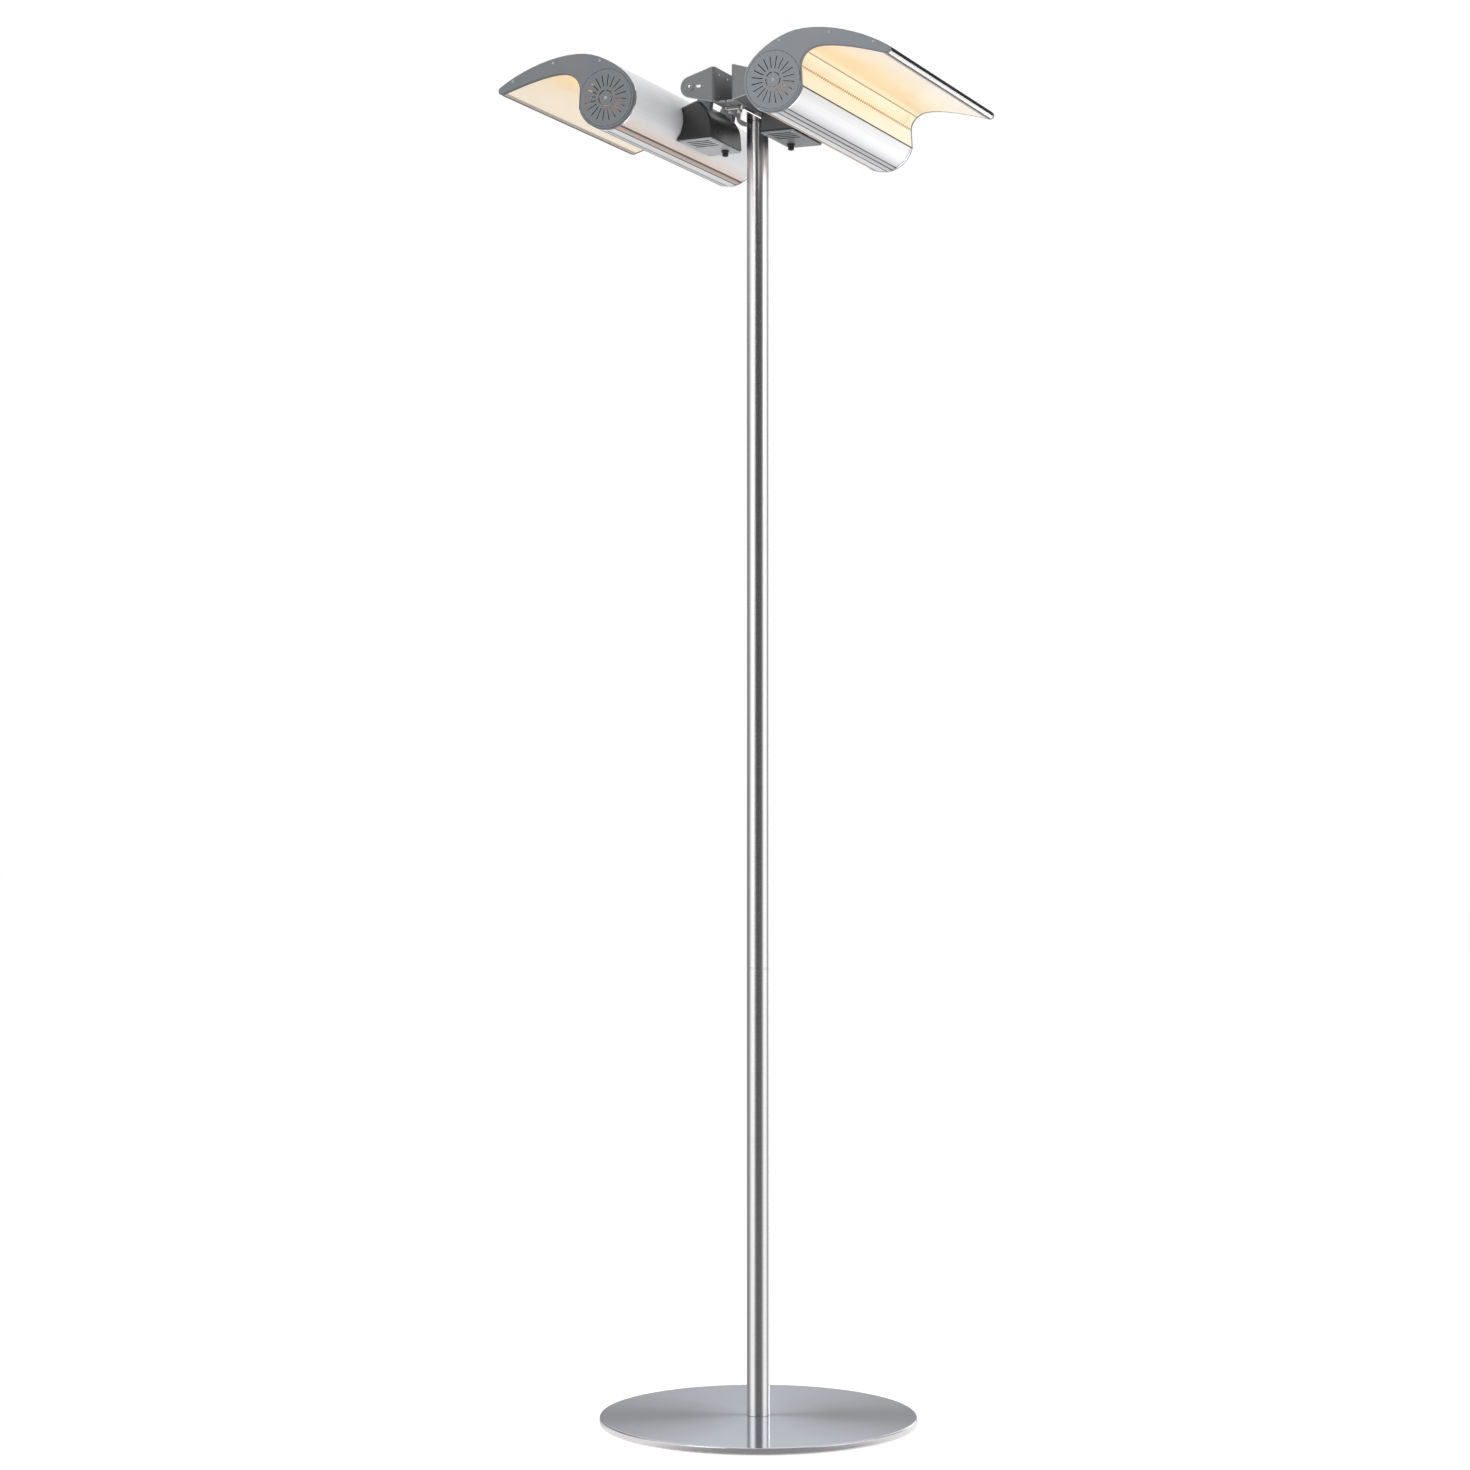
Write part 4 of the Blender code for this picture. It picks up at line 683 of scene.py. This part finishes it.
def lining_material(side):
    """Warm reflector: bands along the head, brushed along y, with the lamp's light painted on in its colours
    and as a glow of its own.
    """
    material, tree, shader = new_material(f"warm_lining_{side}")
    amber, pale = AMBER[side], PALE[side]
    u, w = head_axes(tree, side)
    streaks = noise(tree, stretched(tree, (260, 7, 260)), 1.0, 4.0)
    wobble = maths(tree, "SUBTRACT", noise(tree, stretched(tree, (18, 9, 18)), 1.0, 2.0), 0.5)
    level = maths(tree, "ADD", w, maths(tree, "MULTIPLY", wobble, LINING_WALL_SHIFT))
    wall = ramp(tree, ranged(tree, level, *LINING_WALL), (0.0, CREAM), (0.50, CREAM), (0.93, amber))
    reach = maths(tree, "ADD", u, maths(tree, "MULTIPLY", wobble, LINING_VISOR_SHIFT))
    visor = ramp(tree, ranged(tree, reach, *LINING_VISOR),
                 (0.0, amber), (0.16, amber), (0.50, CREAM), (0.75, pale), (1.0, pale))
    base = mixed(tree, ranged(tree, u, *LINING_TURN), wall, visor)
    base = mixed(tree, ranged(tree, streaks, 0.35, 0.75, 0.0, 0.16), base, amber)
    # Painted shade: a darker band along the nose
    base = mixed(tree, ranged(tree, u, *LINING_NOSE_SHADE), base, NOSE_SHADE)
    fill(tree, shader, {"Base Color": base, "Metallic": 0.2,
                        "Emission Color": base, "Emission Strength": LINING_PAINTED_GLOW,
                        "Roughness": ranged(tree, streaks, *NOISE_MIDDLE, 0.30, 0.42),
                        "Normal": relief(tree, 0.03, METAL_RELIEF, streaks)})
    return material


def glowing_material(name, colour, glow, strength, roughness, transmission=0.0):
    """A glowing surface with soft brighter and darker places; on all but the lamp's quartz the glow is
    painted light.
    """
    material, tree, shader = new_material(name)
    clouds = noise(tree, stretched(tree, (1, 0.25, 1)), GLOW_CLOUDS, 3.0)
    share = ranged(tree, clouds, *NOISE_MIDDLE)
    gloss = ranged(tree, clouds, *NOISE_MIDDLE, roughness - GLOW_SWING, roughness + GLOW_SWING)
    fill(tree, shader, {"Base Color": mixed(tree, share, shade(colour, 0.9), colour),
                        "Emission Color": mixed(tree, share, shade(glow, 0.85), glow),
                        "Emission Strength": strength, "Transmission Weight": transmission,
                        "Roughness": gloss})
    return material


# Steel beside the lamp: its two cold and its two warm tones, where from the axis it is warm, and
# between which heights its warmth grows to full below the lamp
HEAT_COLD = ((0.035, 0.030, 0.028), (0.060, 0.045, 0.036))
# The warm tones are the steel's tan with the lamp's light painted on
HEAT_TINT_AND_LAMPLIGHT = ((0.62, 0.40, 0.20), (0.85, 0.48, 0.20))
HEAT_REACH = (0.024, 0.014)
HEAT_HEIGHTS = (0.012, -0.008)


def heat_tint_and_lamplight_material(side):
    """Steel next to the lamp, tanned by the lamp's warmth, with the lamp's light painted on it and a painted
    glow, most of all below the lamp.
    """
    material, tree, shader = new_material(f"heat_tinted_lamplit_steel_{side}")
    u, w = head_axes(tree, side)
    near = maths(tree, "MULTIPLY", ranged(tree, distance(tree, u, w), *HEAT_REACH),
                 ranged(tree, w, *HEAT_HEIGHTS, 0.25, 1.0))
    clouds = noise(tree, stretched(tree, (1, 1, 1)), HEAT_CLOUDS, 3.0)
    share = ranged(tree, clouds, *NOISE_NARROW)
    warm = mixed(tree, share, *HEAT_TINT_AND_LAMPLIGHT)
    cold = mixed(tree, share, *HEAT_COLD)
    # Painted lamp light: warm near the lamp in the colour and given off as glow
    fill(tree, shader, {"Base Color": mixed(tree, near, cold, warm), "Metallic": 0.6,
                        "Emission Color": mixed(tree, near, (0.0, 0.0, 0.0), warm),
                        "Emission Strength": 0.6,
                        "Roughness": ranged(tree, clouds, *NOISE_MIDDLE, 0.35, 0.5)})
    return material


CAP_COLOUR = (0.172, 0.182, 0.198)
# Brighter edges of the caps: partly worn paint, partly painted highlight
CAP_EDGE_WEAR_AND_HIGHLIGHT = (0.34, 0.36, 0.39)


def cap_material(side, level):
    """Slate coating of a head's caps, scaled by a level: painted light and shade, lighter on the side the key
    lamp reaches less.
    """
    return painted_material(f"slate_coating_{side}", shade(CAP_COLOUR, level), 0.48, 1500.0, 0.10, 0.10,
                            edge_wear_and_highlight=shade(CAP_EDGE_WEAR_AND_HIGHLIGHT, level), metallic=0.1)


def make_materials():
    """Every finish but those of the heads' skins, linings and lamp holders."""
    return {
        "rubber": painted_material("black_rubber", (0.03, 0.03, 0.03), 0.85, 900.0, 0.2, 0.25),
        "plate": plate_material(),
        "polished": pole_material(),
        "bar": brushed_material("polished_bar", (0.64, 0.62, 0.62), 0.14, (500, 9, 500), 0.10, 0.04),
        "zinc": brushed_material("zinc_plating", (0.62, 0.63, 0.65), 0.30, (400, 400, 400), 0.10, 0.08),
        # Light edges of bracket, box and right cover: partly worn paint, partly painted highlight
        "bracket": painted_material("gray_paint", (0.150, 0.153, 0.160), 0.45, 1300.0, 0.12, 0.10,
                                    edge_wear_and_highlight=(0.66, 0.67, 0.68), edge_wear_and_highlight_radius=0.0022, metallic=0.1),
        # The left head's caps get a darker copy of the coating and the right head's a lighter one: painted
        # light and shade
        "cap_left": cap_material("left", 0.86),
        "cap_right": cap_material("right", 1.22),
        "mirror": brushed_material("bright_reflector", (0.95, 0.80, 0.55), 0.12, (300, 8, 300), 0.05, 0.02),
        # Pane, strip and beads glow with painted light of the lamp; the quartz is the lit lamp itself
        "pane": glowing_material("warm_pane", (0.94, 0.82, 0.60), (1.0, 0.85, 0.62), 0.28, 0.35, 0.2),
        "quartz": glowing_material("lit_quartz", (1.0, 0.75, 0.40), (1.0, 0.62, 0.25), 2.0, 0.2),
        "ceramic": painted_material("white_ceramic", (0.80, 0.78, 0.74), 0.5, 800.0, 0.05, 0.05),
        "box": painted_material("black_moulding", (0.020, 0.020, 0.022), 0.30, 1500.0, 0.25, 0.06,
                                edge_wear_and_highlight=(0.09, 0.09, 0.095)),
        "cover_left": painted_material("gray_cover_left", (0.50, 0.51, 0.53), 0.42, 1300.0, 0.06, 0.08,
                                       metallic=0.15),
        # The right head's cover is a darker copy of the left one's gray: painted shade
        "cover_right": painted_material("shaded_gray_cover_right", (0.20, 0.21, 0.215), 0.42, 1300.0, 0.10, 0.08,
                                        edge_wear_and_highlight=(0.50, 0.51, 0.53), metallic=0.15),
        "cream": painted_material("cream_moulding", (0.70, 0.67, 0.58), 0.5, 900.0, 0.05, 0.05),
        "screw": painted_material("screw_steel", (0.42, 0.425, 0.44), 0.45, 900.0, 0.1, 0.05, metallic=0.5),
        "rim": brushed_material("bright_rim", (0.88, 0.885, 0.90), 0.16, (300, 300, 300), 0.04, 0.03),
        # Painted glow of the lamp's light on the strip over the window and the beads under it
        "bronze": glowing_material("bronze_strip", (0.46, 0.32, 0.19), (0.55, 0.38, 0.22), 0.16, 0.45),
        "ochre": glowing_material("ochre_beads", (0.48, 0.38, 0.19), (0.56, 0.44, 0.22), 0.16, 0.45),
        # Dark strip on the nose and dark sheets in the cover's slots: painted reflection and painted shade
        "dark": dull(painted_material("dark_painted_shade_and_reflection", (0.010, 0.0095, 0.0095), 0.75, 900.0, 0.2, 0.08), 0.12),
        "gasket": painted_material("brown_gasket", (0.085, 0.062, 0.045), 0.55, 900.0, 0.2, 0.08),
        "seam": painted_material("gray_seam", (0.16, 0.135, 0.12), 0.55, 900.0, 0.2, 0.08),
    }


# Pieces that stand for nodes

# Base plate: bore, chamfer below, rounding of the rim above, and how far the edge loops lie beside
# the rounding and the bore
PLATE_BORE = 0.0063
PLATE_CHAMFER = 0.0006
PLATE_ROUNDING = 0.0022
PLATE_ROUNDING_STEPS = 8
PLATE_OUTER_LOOP = 0.0015
PLATE_INNER_LOOP = 0.03
PLATE_STEPS = 192
PAD_BORE = 0.0005
PAD_ROUNDING = 0.0006
PAD_STEPS = 128
POLE_BORE = 0.0167
POLE_ROUNDING = 0.0003
POLE_STEPS = 96


def add_base_plate(materials):
    """The base plate with its rounded rim, turned finer than the node."""
    low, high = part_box("base_plate")
    profile = [(PLATE_BORE, low.z), (high.x - PLATE_CHAMFER, low.z), (high.x, low.z + PLATE_CHAMFER)]
    centre = (high.x - PLATE_ROUNDING, high.z - PLATE_ROUNDING)
    for i in range(PLATE_ROUNDING_STEPS + 1):
        profile.append(polar(PLATE_ROUNDING, 90 * i / PLATE_ROUNDING_STEPS, centre))
    profile += [(centre[0] - PLATE_OUTER_LOOP, high.z), (PLATE_BORE + PLATE_INNER_LOOP, high.z),
                (PLATE_BORE, high.z)]
    plate = lathe("base_plate_finish", profile, PLATE_STEPS)
    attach(plate, "stand")
    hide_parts("base_plate")
    coat(plate, materials["plate"])


def turned_piece(node, bore, rounding, steps):
    """A ring or tube in the place of a node of the stand, turned finer than the node."""
    low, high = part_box(node)
    corners = [(bore, low.z), (high.x, low.z), (high.x, high.z), (bore, high.z)]
    piece = lathe(node + "_finish", rounded_profile(corners, rounding), steps)
    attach(piece, "stand")
    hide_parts(node)
    return piece


def add_stand(materials):
    """Base plate, pad and both pole sections."""
    add_base_plate(materials)
    pad = turned_piece("base_pad", PAD_BORE, PAD_ROUNDING, PAD_STEPS)
    coat(pad, materials["rubber"])
    for node in ("pole_lower", "pole_upper"):
        section = turned_piece(node, POLE_BORE, POLE_ROUNDING, POLE_STEPS)
        even_normals(section)
        coat(section, materials["polished"])


# Nodes whose shape is right: node, finish, slot and rounding of the edges
DRESSED = (
    ("base_bolt", "zinc", "zinc", 0.0),
    ("pole_foot_plug", "zinc", "zinc", 0.0),
    ("pole_head_plug", "zinc", "zinc", 0.0),
    ("pole_coupler", "polished", "polished_tube", 0.0),
    ("cross_bar", "bar", "polished_tube", 0.0006),
    ("cross_bar_bolt", "zinc", "zinc", 0.0003),
)
DRESSED_PER_SIDE = (
    ("bracket_{}", "bracket", "gray_paint", 0.0005),
    ("tilt_shaft_{}", "bracket", "gray_paint", 0.0004),
    ("bracket_bolt_{}_front", "zinc", "zinc", 0.0004),
    ("bracket_bolt_{}_rear", "zinc", "zinc", 0.0004),
    ("end_cap_{}_front", "cap_{}", "slate_cap", 0.0005),
    ("end_cap_{}_rear", "cap_{}", "slate_cap", 0.0005),
    ("vent_disc_{}_front", "cap_{}", "slate_cap", 0.0003),
    ("vent_disc_{}_rear", "cap_{}", "slate_cap", 0.0003),
    ("terminal_box_{}", "box", "black_box", 0.0006),
    ("terminal_cover_{}", "cover_{}", "gray_cover", 0.0004),
    ("cable_gland_{}", "box", "black_box", 0.0004),
    ("tilt_lug_{}_front", "bracket", "gray_paint", 0.0005),
    ("tilt_lug_{}_rear", "bracket", "gray_paint", 0.0005),
    ("inner_reflector_{}", "mirror", "bright_lining", 0.0),
    ("window_pane_{}", "pane", "warm_pane", 0.0004),
    ("lamp_{}", "quartz", "amber_quartz", 0.0),
    ("lamp_base_{}_front", "ceramic", "ceramic", 0.0),
    ("lamp_base_{}_rear", "ceramic", "ceramic", 0.0),
    ("terminal_block_{}", "cream", "cream_block", 0.0005),
)
SKIN_ROUNDING = 0.0002


def dress_nodes(materials):
    """The nodes whose shape is right, with rounded edges where they show."""
    for node, material, slot, radius in DRESSED:
        coat(dressed(node, radius), materials[material])
    for side, _ in SIDES:
        for pattern, material, slot, radius in DRESSED_PER_SIDE:
            coat(dressed(pattern.format(side), radius), materials[material.format(side)])
        tinted_lamplit_steel = heat_tint_and_lamplight_material(side)
        for end, _ in ENDS:
            coat(dressed(f"lamp_holder_{side}_{end}"), tinted_lamplit_steel)
        coat(dressed(f"reflector_{side}", SKIN_ROUNDING), lining_material(side))
        coat(dressed(f"housing_{side}", SKIN_ROUNDING), aluminium_material(side))


# Small pieces that are in the scene alone

def facing(point, direction):
    """Matrix that puts +z along a direction at a point."""
    turn = Vector(direction).to_track_quat("Z", "Y").to_matrix().to_4x4()
    return Matrix.Translation(point) @ turn


def outer_face(node, sign):
    """y of a node's front or rear face."""
    low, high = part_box(node)
    return low.y if sign < 0 else high.y


def head_length(side, inset):
    """y of both ends of a head's extrusion, less an inset."""
    low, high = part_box(f"housing_{side}")
    return low.y + inset, high.y - inset


def band(inner, outer, start, end, steps, centre=(0.0, 0.0)):
    """Closed outline of a strip that follows an arc."""
    angles = [start + (end - start) * i / steps for i in range(steps + 1)]
    there = [polar(outer, angle, centre) for angle in angles]
    return there + [polar(inner, angle, centre) for angle in reversed(angles)]


def strip_into(shape, outline, start, end, place):
    """Adds a prism of a (u, w) outline along y to a mesh."""
    loops = [[shape.verts.new(place @ Vector((u, y, w))) for u, w in outline] for y in (start, end)]
    faces = [shape.faces.new(loop) for loop in loops] + join_rings(shape, loops)
    bmesh.ops.recalc_face_normals(shape, faces=faces)


# A screw head from just below its seat to its top, as shares of its radius and height, and the
# height of a rivet's crown
HEAD_STEPS = 20
HEAD_SHARES = ((1.0, -0.25), (1.0, 0.35), (0.93, 0.72), (0.80, 0.95), (0.64, 1.0))
CROWN_SHARE = 1.18
# Cross recess: shares of the radius from the middle to an arm's end and side, of the floor's width
# against the top's, and of the height at which the floor lies
RECESS_ARM_SHARE = 0.48
RECESS_SIDE_SHARE = 0.13
RECESS_WIDTH_SHARE = 0.8
RECESS_HEIGHT_SHARE = 0.35


def recess_into(shape, place, radius, height, rim):
    """Faces of a screw head's flat top inside its rim, with a cross recess in it."""
    arm, half = radius * RECESS_ARM_SHARE, radius * RECESS_SIDE_SHARE
    cross = []
    for quarter in range(4):
        turn = Matrix.Rotation(math.radians(90 * quarter), 3, "Z")
        cross += [turn @ Vector(point) for point in ((arm, -half, 0), (arm, half, 0), (half, half, 0))]
    rise = Vector((0, 0, height))
    top = [shape.verts.new(place @ (point + rise)) for point in cross]
    floor = [shape.verts.new(place @ (point * RECESS_WIDTH_SHARE + rise * RECESS_HEIGHT_SHARE))
             for point in cross]
    edges = [shape.edges.new((top[i - 1], top[i])) for i in range(len(top))]
    edges += [shape.edges.get((rim[i - 1], rim[i])) for i in range(len(rim))]
    filled = bmesh.ops.triangle_fill(shape, edges=edges, use_beauty=True, use_dissolve=False)
    faces = [item for item in filled["geom"] if isinstance(item, bmesh.types.BMFace)]
    return faces + join_rings(shape, [floor, top]) + [shape.faces.new(floor)]


def screw_into(shape, place, size, recess=True):
    """Adds a low screw or rivet head: its axis is the place's +z, its seat at the place's origin."""
    radius, height = size
    rings = []
    for across, up in HEAD_SHARES:
        points = [(*polar(radius * across, 360 * i / HEAD_STEPS), height * up) for i in range(HEAD_STEPS)]
        rings.append([shape.verts.new(place @ Vector(point)) for point in points])
    faces = join_rings(shape, rings)
    faces.append(shape.faces.new(list(reversed(rings[0]))))
    if recess:
        faces += recess_into(shape, place, radius, height, rings[-1])
        bmesh.ops.recalc_face_normals(shape, faces=faces)
        return
    crown = shape.verts.new(place @ Vector((0, 0, height * CROWN_SHARE)))
    for i in range(HEAD_STEPS):
        shape.faces.new((rings[-1][i], rings[-1][(i + 1) % HEAD_STEPS], crown))


def added(name, shape, body, material):
    """Finishes a piece that the CAD hasn't, and lets it ride."""
    piece = new_object(name, finished(shape))
    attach(piece, body)
    coat(piece, material)


# Radius and height of each kind of head
CAP_SCREW = (0.0019, 0.0007)
DISC_SCREW = (0.0026, 0.0009)
SMALL_SCREW = (0.0021, 0.0009)
RIVET = (0.0019, 0.0010)
# Screws of an end cap in (u, w), and how deep its and its disc's heads are sunk
CAP_SCREWS = ((0.0175, 0.0553), (0.097, 0.0485), (0.163, 0.018))
CAP_SCREW_SINK = 0.0005
DISC_SCREW_SINK = 0.0008
# Bright rim of the tube behind a cap: how far it goes in and out of the skin, its first and last
# angle, the gap from the tube's end, and its width
TUBE_RIM_IN = 0.0001
TUBE_RIM_OUT = 0.0005
TUBE_RIM_ANGLES = (LIP_ANGLE - 2.5, -212)
TUBE_RIM_STEPS = 44
TUBE_RIM_GAP = 0.0002
TUBE_RIM_WIDTH = 0.0026


def add_cap_details(materials, side, end, sign):
    """Screws of an end cap and its vent disc, and the bright tube rim behind the cap."""
    place = head_place(side)
    body = f"head_{side}"
    seat = outer_face(f"end_cap_{side}_{end}", sign) - sign * CAP_SCREW_SINK
    shape = bmesh.new()
    for u, w in CAP_SCREWS:
        screw_into(shape, facing(place @ Vector((u, seat, w)), (0, sign, 0)), CAP_SCREW)
    added(f"cap_screws_{side}_{end}", shape, body, materials["screw"])
    seat = outer_face(f"vent_disc_{side}_{end}", sign) - sign * DISC_SCREW_SINK
    shape = bmesh.new()
    screw_into(shape, facing(place @ Vector((0, seat, 0)), (0, sign, 0)), DISC_SCREW)
    added(f"disc_screw_{side}_{end}", shape, body, materials["screw"])
    edge = outer_face(f"housing_{side}", sign) - sign * TUBE_RIM_GAP
    shape = bmesh.new()
    outline = band(TUBE_RADIUS - TUBE_RIM_IN, TUBE_RADIUS + TUBE_RIM_OUT, *TUBE_RIM_ANGLES, TUBE_RIM_STEPS)
    strip_into(shape, outline, edge, edge - sign * TUBE_RIM_WIDTH, place)
    added(f"tube_rim_{side}_{end}", shape, body, materials["rim"])


TRIM_INSET = 0.0004
# The dark strip on the nose is a painted reflection of something dark
# Trims along a head: name, centre and radius of the arc, how far they go in and out of it, first and
# last angle, steps, finish, slot
TRIMS = (
    ("nose_dark_reflection", NOSE, NOSE_RADIUS, 0.0002, 0.0001, 50, -26, 16, "dark", "black_box"),
    ("nose_seam", NOSE, NOSE_RADIUS, 0.0002, 0.0003, -80, -114, 4, "seam", "gray_paint"),
    ("lip_gasket", (0, 0), TUBE_RADIUS, 0.0003, 0.0003, LIP_ANGLE, LIP_ANGLE - 2.2, 2, "gasket", "black_box"),
)


def add_trims(materials, side):
    """Dark and light strips along the nose and the lip; the dark one on the nose is a painted reflection."""
    start, end = head_length(side, TRIM_INSET)
    for name, centre, radius, depth, height, first, last, steps, material, slot in TRIMS:
        shape = bmesh.new()
        outline = band(radius - depth, radius + height, first, last, steps, centre)
        strip_into(shape, outline, start, end, head_place(side))
        added(f"{name}_{side}", shape, f"head_{side}", materials[material])


# The window's lower and upper edge on the lining, and a point beyond each, in head axes
WINDOW_LOWER = (Vector((0.04655, 0.0125)), Vector((0.0460, 0.0085)))
WINDOW_UPPER = (Vector((0.0583, 0.0281)), Vector((0.0600, 0.0294)))
WINDOW_INSET = 0.0006
# How far the strip over the window goes in and out of the lining
STRIP_DEPTH = 0.0002
STRIP_HEIGHT = 0.0005
# The beads stand for a painted image of the lamp's coiled filament
# Beads under the window: their pitch and half length along y, how far every other one is shifted,
# half their width, what it swells by, and how far they go in and out of the lining
BEAD_PITCH = 0.0042
BEAD_HALF_LENGTH = 0.0013
BEAD_SHIFT = 0.0009
BEAD_HALF_WIDTH = 0.0009
BEAD_SWELL = 0.0006
BEAD_SWELL_PHASE = 1.7
BEAD_DEPTH = 0.0003
BEAD_HEIGHT = 0.0007
BEAD_TOP_SHARE = 0.7


def ridge(centre, half, out, depth, height, top_share=1.0):
    """Section of a low ridge; half leads from its centre to its end, and out away from the lining."""
    foot, top = centre - out * depth, centre + out * height
    top_half = half * top_share
    return [tuple(point) for point in (foot - half, foot + half, top + top_half, top - top_half)]


def add_window_frame(materials, side):
    """A row of ochre beads under the window, a painted image of the lamp's coiled filament, and a thin brown
    strip over it.
    """
    place = head_place(side)
    body = f"head_{side}"
    start, end = head_length(side, WINDOW_INSET)
    near, far = WINDOW_UPPER
    across = (far - near).normalized()
    out = Vector((across.y, -across.x))
    outline = ridge((near + far) / 2, (far - near) / 2, out, STRIP_DEPTH, STRIP_HEIGHT)
    shape = bmesh.new()
    strip_into(shape, outline, start, end, place)
    added(f"window_strip_{side}", shape, body, materials["bronze"])
    near, far = WINDOW_LOWER
    across = (far - near).normalized()
    out = Vector((1, 0))
    shape = bmesh.new()
    count = round((end - start) / BEAD_PITCH)
    for i in range(count):
        middle = start + (end - start) * (i + 0.5) / count
        centre = (near + far) / 2 + across * (BEAD_SHIFT if i % 2 else -BEAD_SHIFT)
        half = across * (BEAD_HALF_WIDTH + BEAD_SWELL * abs(math.sin(BEAD_SWELL_PHASE * i)))
        outline = ridge(centre, half, out, BEAD_DEPTH, BEAD_HEIGHT, BEAD_TOP_SHARE)
        strip_into(shape, outline, middle - BEAD_HALF_LENGTH, middle + BEAD_HALF_LENGTH, place)
    added(f"window_beads_{side}", shape, body, materials["ochre"])


# The terminal box's open floor in head axes: its foot, and its corner beside the tube
FLOOR_FOOT = Vector((-0.1014, -0.0184))
FLOOR_CORNER = Vector((-0.03916, -0.02742))
# How far the cover reaches below that floor, and its slots: along y, and across as shares of the floor
COVER_FAR = 0.0028
SLOT_PITCH = 0.0115
SLOT_FIRST = 0.012
SLOT_WIDTH = 0.006
SLOT_COUNT = 4
SLOT_SHARES = (0.16, 0.78)
# The dark sheet in a slot, painted shade: below the floor, above the cover's outer face, and beside the
# slot's sides
SLOT_SHADE_TOP = 0.0006
SLOT_SHADE_SINK = 0.0005
SLOT_SHADE_GAP = 0.0001
# The cover's screws: from the floor's foot, from its corner, and from both ends along y
COVER_SCREW_FOOT = 0.0065
COVER_SCREW_CORNER = 0.0105
COVER_SCREW_END = 0.0065


def add_cover_details(materials, side):
    """Dark sheets in the cover's slots, painted shade, and the screws that hold the cover."""
    place = head_place(side)
    body = f"head_{side}"
    low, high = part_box(f"terminal_box_{side}")
    span = FLOOR_CORNER - FLOOR_FOOT
    along = span.normalized()
    down = Vector((along.y, -along.x))
    left, right = (span * share for share in SLOT_SHARES)
    near, far = down * SLOT_SHADE_TOP, down * (COVER_FAR - SLOT_SHADE_SINK)
    outline = [tuple(FLOOR_FOOT + spot) for spot in (left + near, right + near, right + far, left + far)]
    half = SLOT_WIDTH / 2 - SLOT_SHADE_GAP
    shape = bmesh.new()
    for i in range(SLOT_COUNT):
        middle = low.y + SLOT_FIRST + i * SLOT_PITCH
        strip_into(shape, outline, middle - half, middle + half, place)
    added(f"cover_mesh_{side}", shape, body, materials["dark"])
    shape = bmesh.new()
    out = place.to_3x3() @ Vector((down.x, 0, down.y))
    for reach in (COVER_SCREW_FOOT, span.length - COVER_SCREW_CORNER):
        spot = FLOOR_FOOT + along * reach + down * COVER_FAR
        for y in (low.y + COVER_SCREW_END, high.y - COVER_SCREW_END):
            screw_into(shape, facing(place @ Vector((spot.x, y, spot.y)), out), SMALL_SCREW)
    added(f"cover_screws_{side}", shape, body, materials["zinc"])


def add_shaft_screws(materials, side):
    """A small bright screw in each end of a tilt shaft."""
    node = f"tilt_shaft_{side}"
    low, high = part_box(node)
    middle = (low + high) / 2
    shape = bmesh.new()
    for y, sign in ((low.y, -1), (high.y, 1)):
        screw_into(shape, facing((middle.x, y, middle.z), (0, sign, 0)), SMALL_SCREW)
    added(f"shaft_screws_{side}", shape, NODES[node]["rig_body"], materials["rim"])


# Distance from the middle to the face of a bracket's web that looks at the pole
BRACKET_WEB = 0.0138
# Its rivets: from each end of the bracket along y, and above its foot
RIVET_INSETS = (0.0165, 0.0475)
RIVET_RISES = (0.009, 0.0435)


def add_rivets(materials, side, sign):
    """Rivet heads on the face of a bracket's web that looks at the pole."""
    low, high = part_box(f"bracket_{side}")
    shape = bmesh.new()
    for inset in RIVET_INSETS:
        for y in (low.y + inset, high.y - inset):
            for rise in RIVET_RISES:
                spot = (sign * BRACKET_WEB, y, low.z + rise)
                screw_into(shape, facing(spot, (-sign, 0, 0)), RIVET, recess=False)
    added(f"bracket_rivets_{side}", shape, "stand", materials["zinc"])


def add_small_pieces(materials):
    """Screws, rivets, trims and meshes of both heads and brackets."""
    for side, sign in SIDES:
        for end, end_sign in ENDS:
            add_cap_details(materials, side, end, end_sign)
        add_trims(materials, side)
        add_window_frame(materials, side)
        add_cover_details(materials, side)
        add_rivets(materials, side, sign)
        add_shaft_screws(materials, side)


def main():
    """Builds the studio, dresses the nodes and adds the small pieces."""
    bpy.context.scene.view_settings.view_transform = "Standard"
    add_camera()
    add_world()
    add_floor()
    add_wall()
    add_lamps()
    materials = make_materials()
    add_stand(materials)
    dress_nodes(materials)
    add_small_pieces(materials)


main()
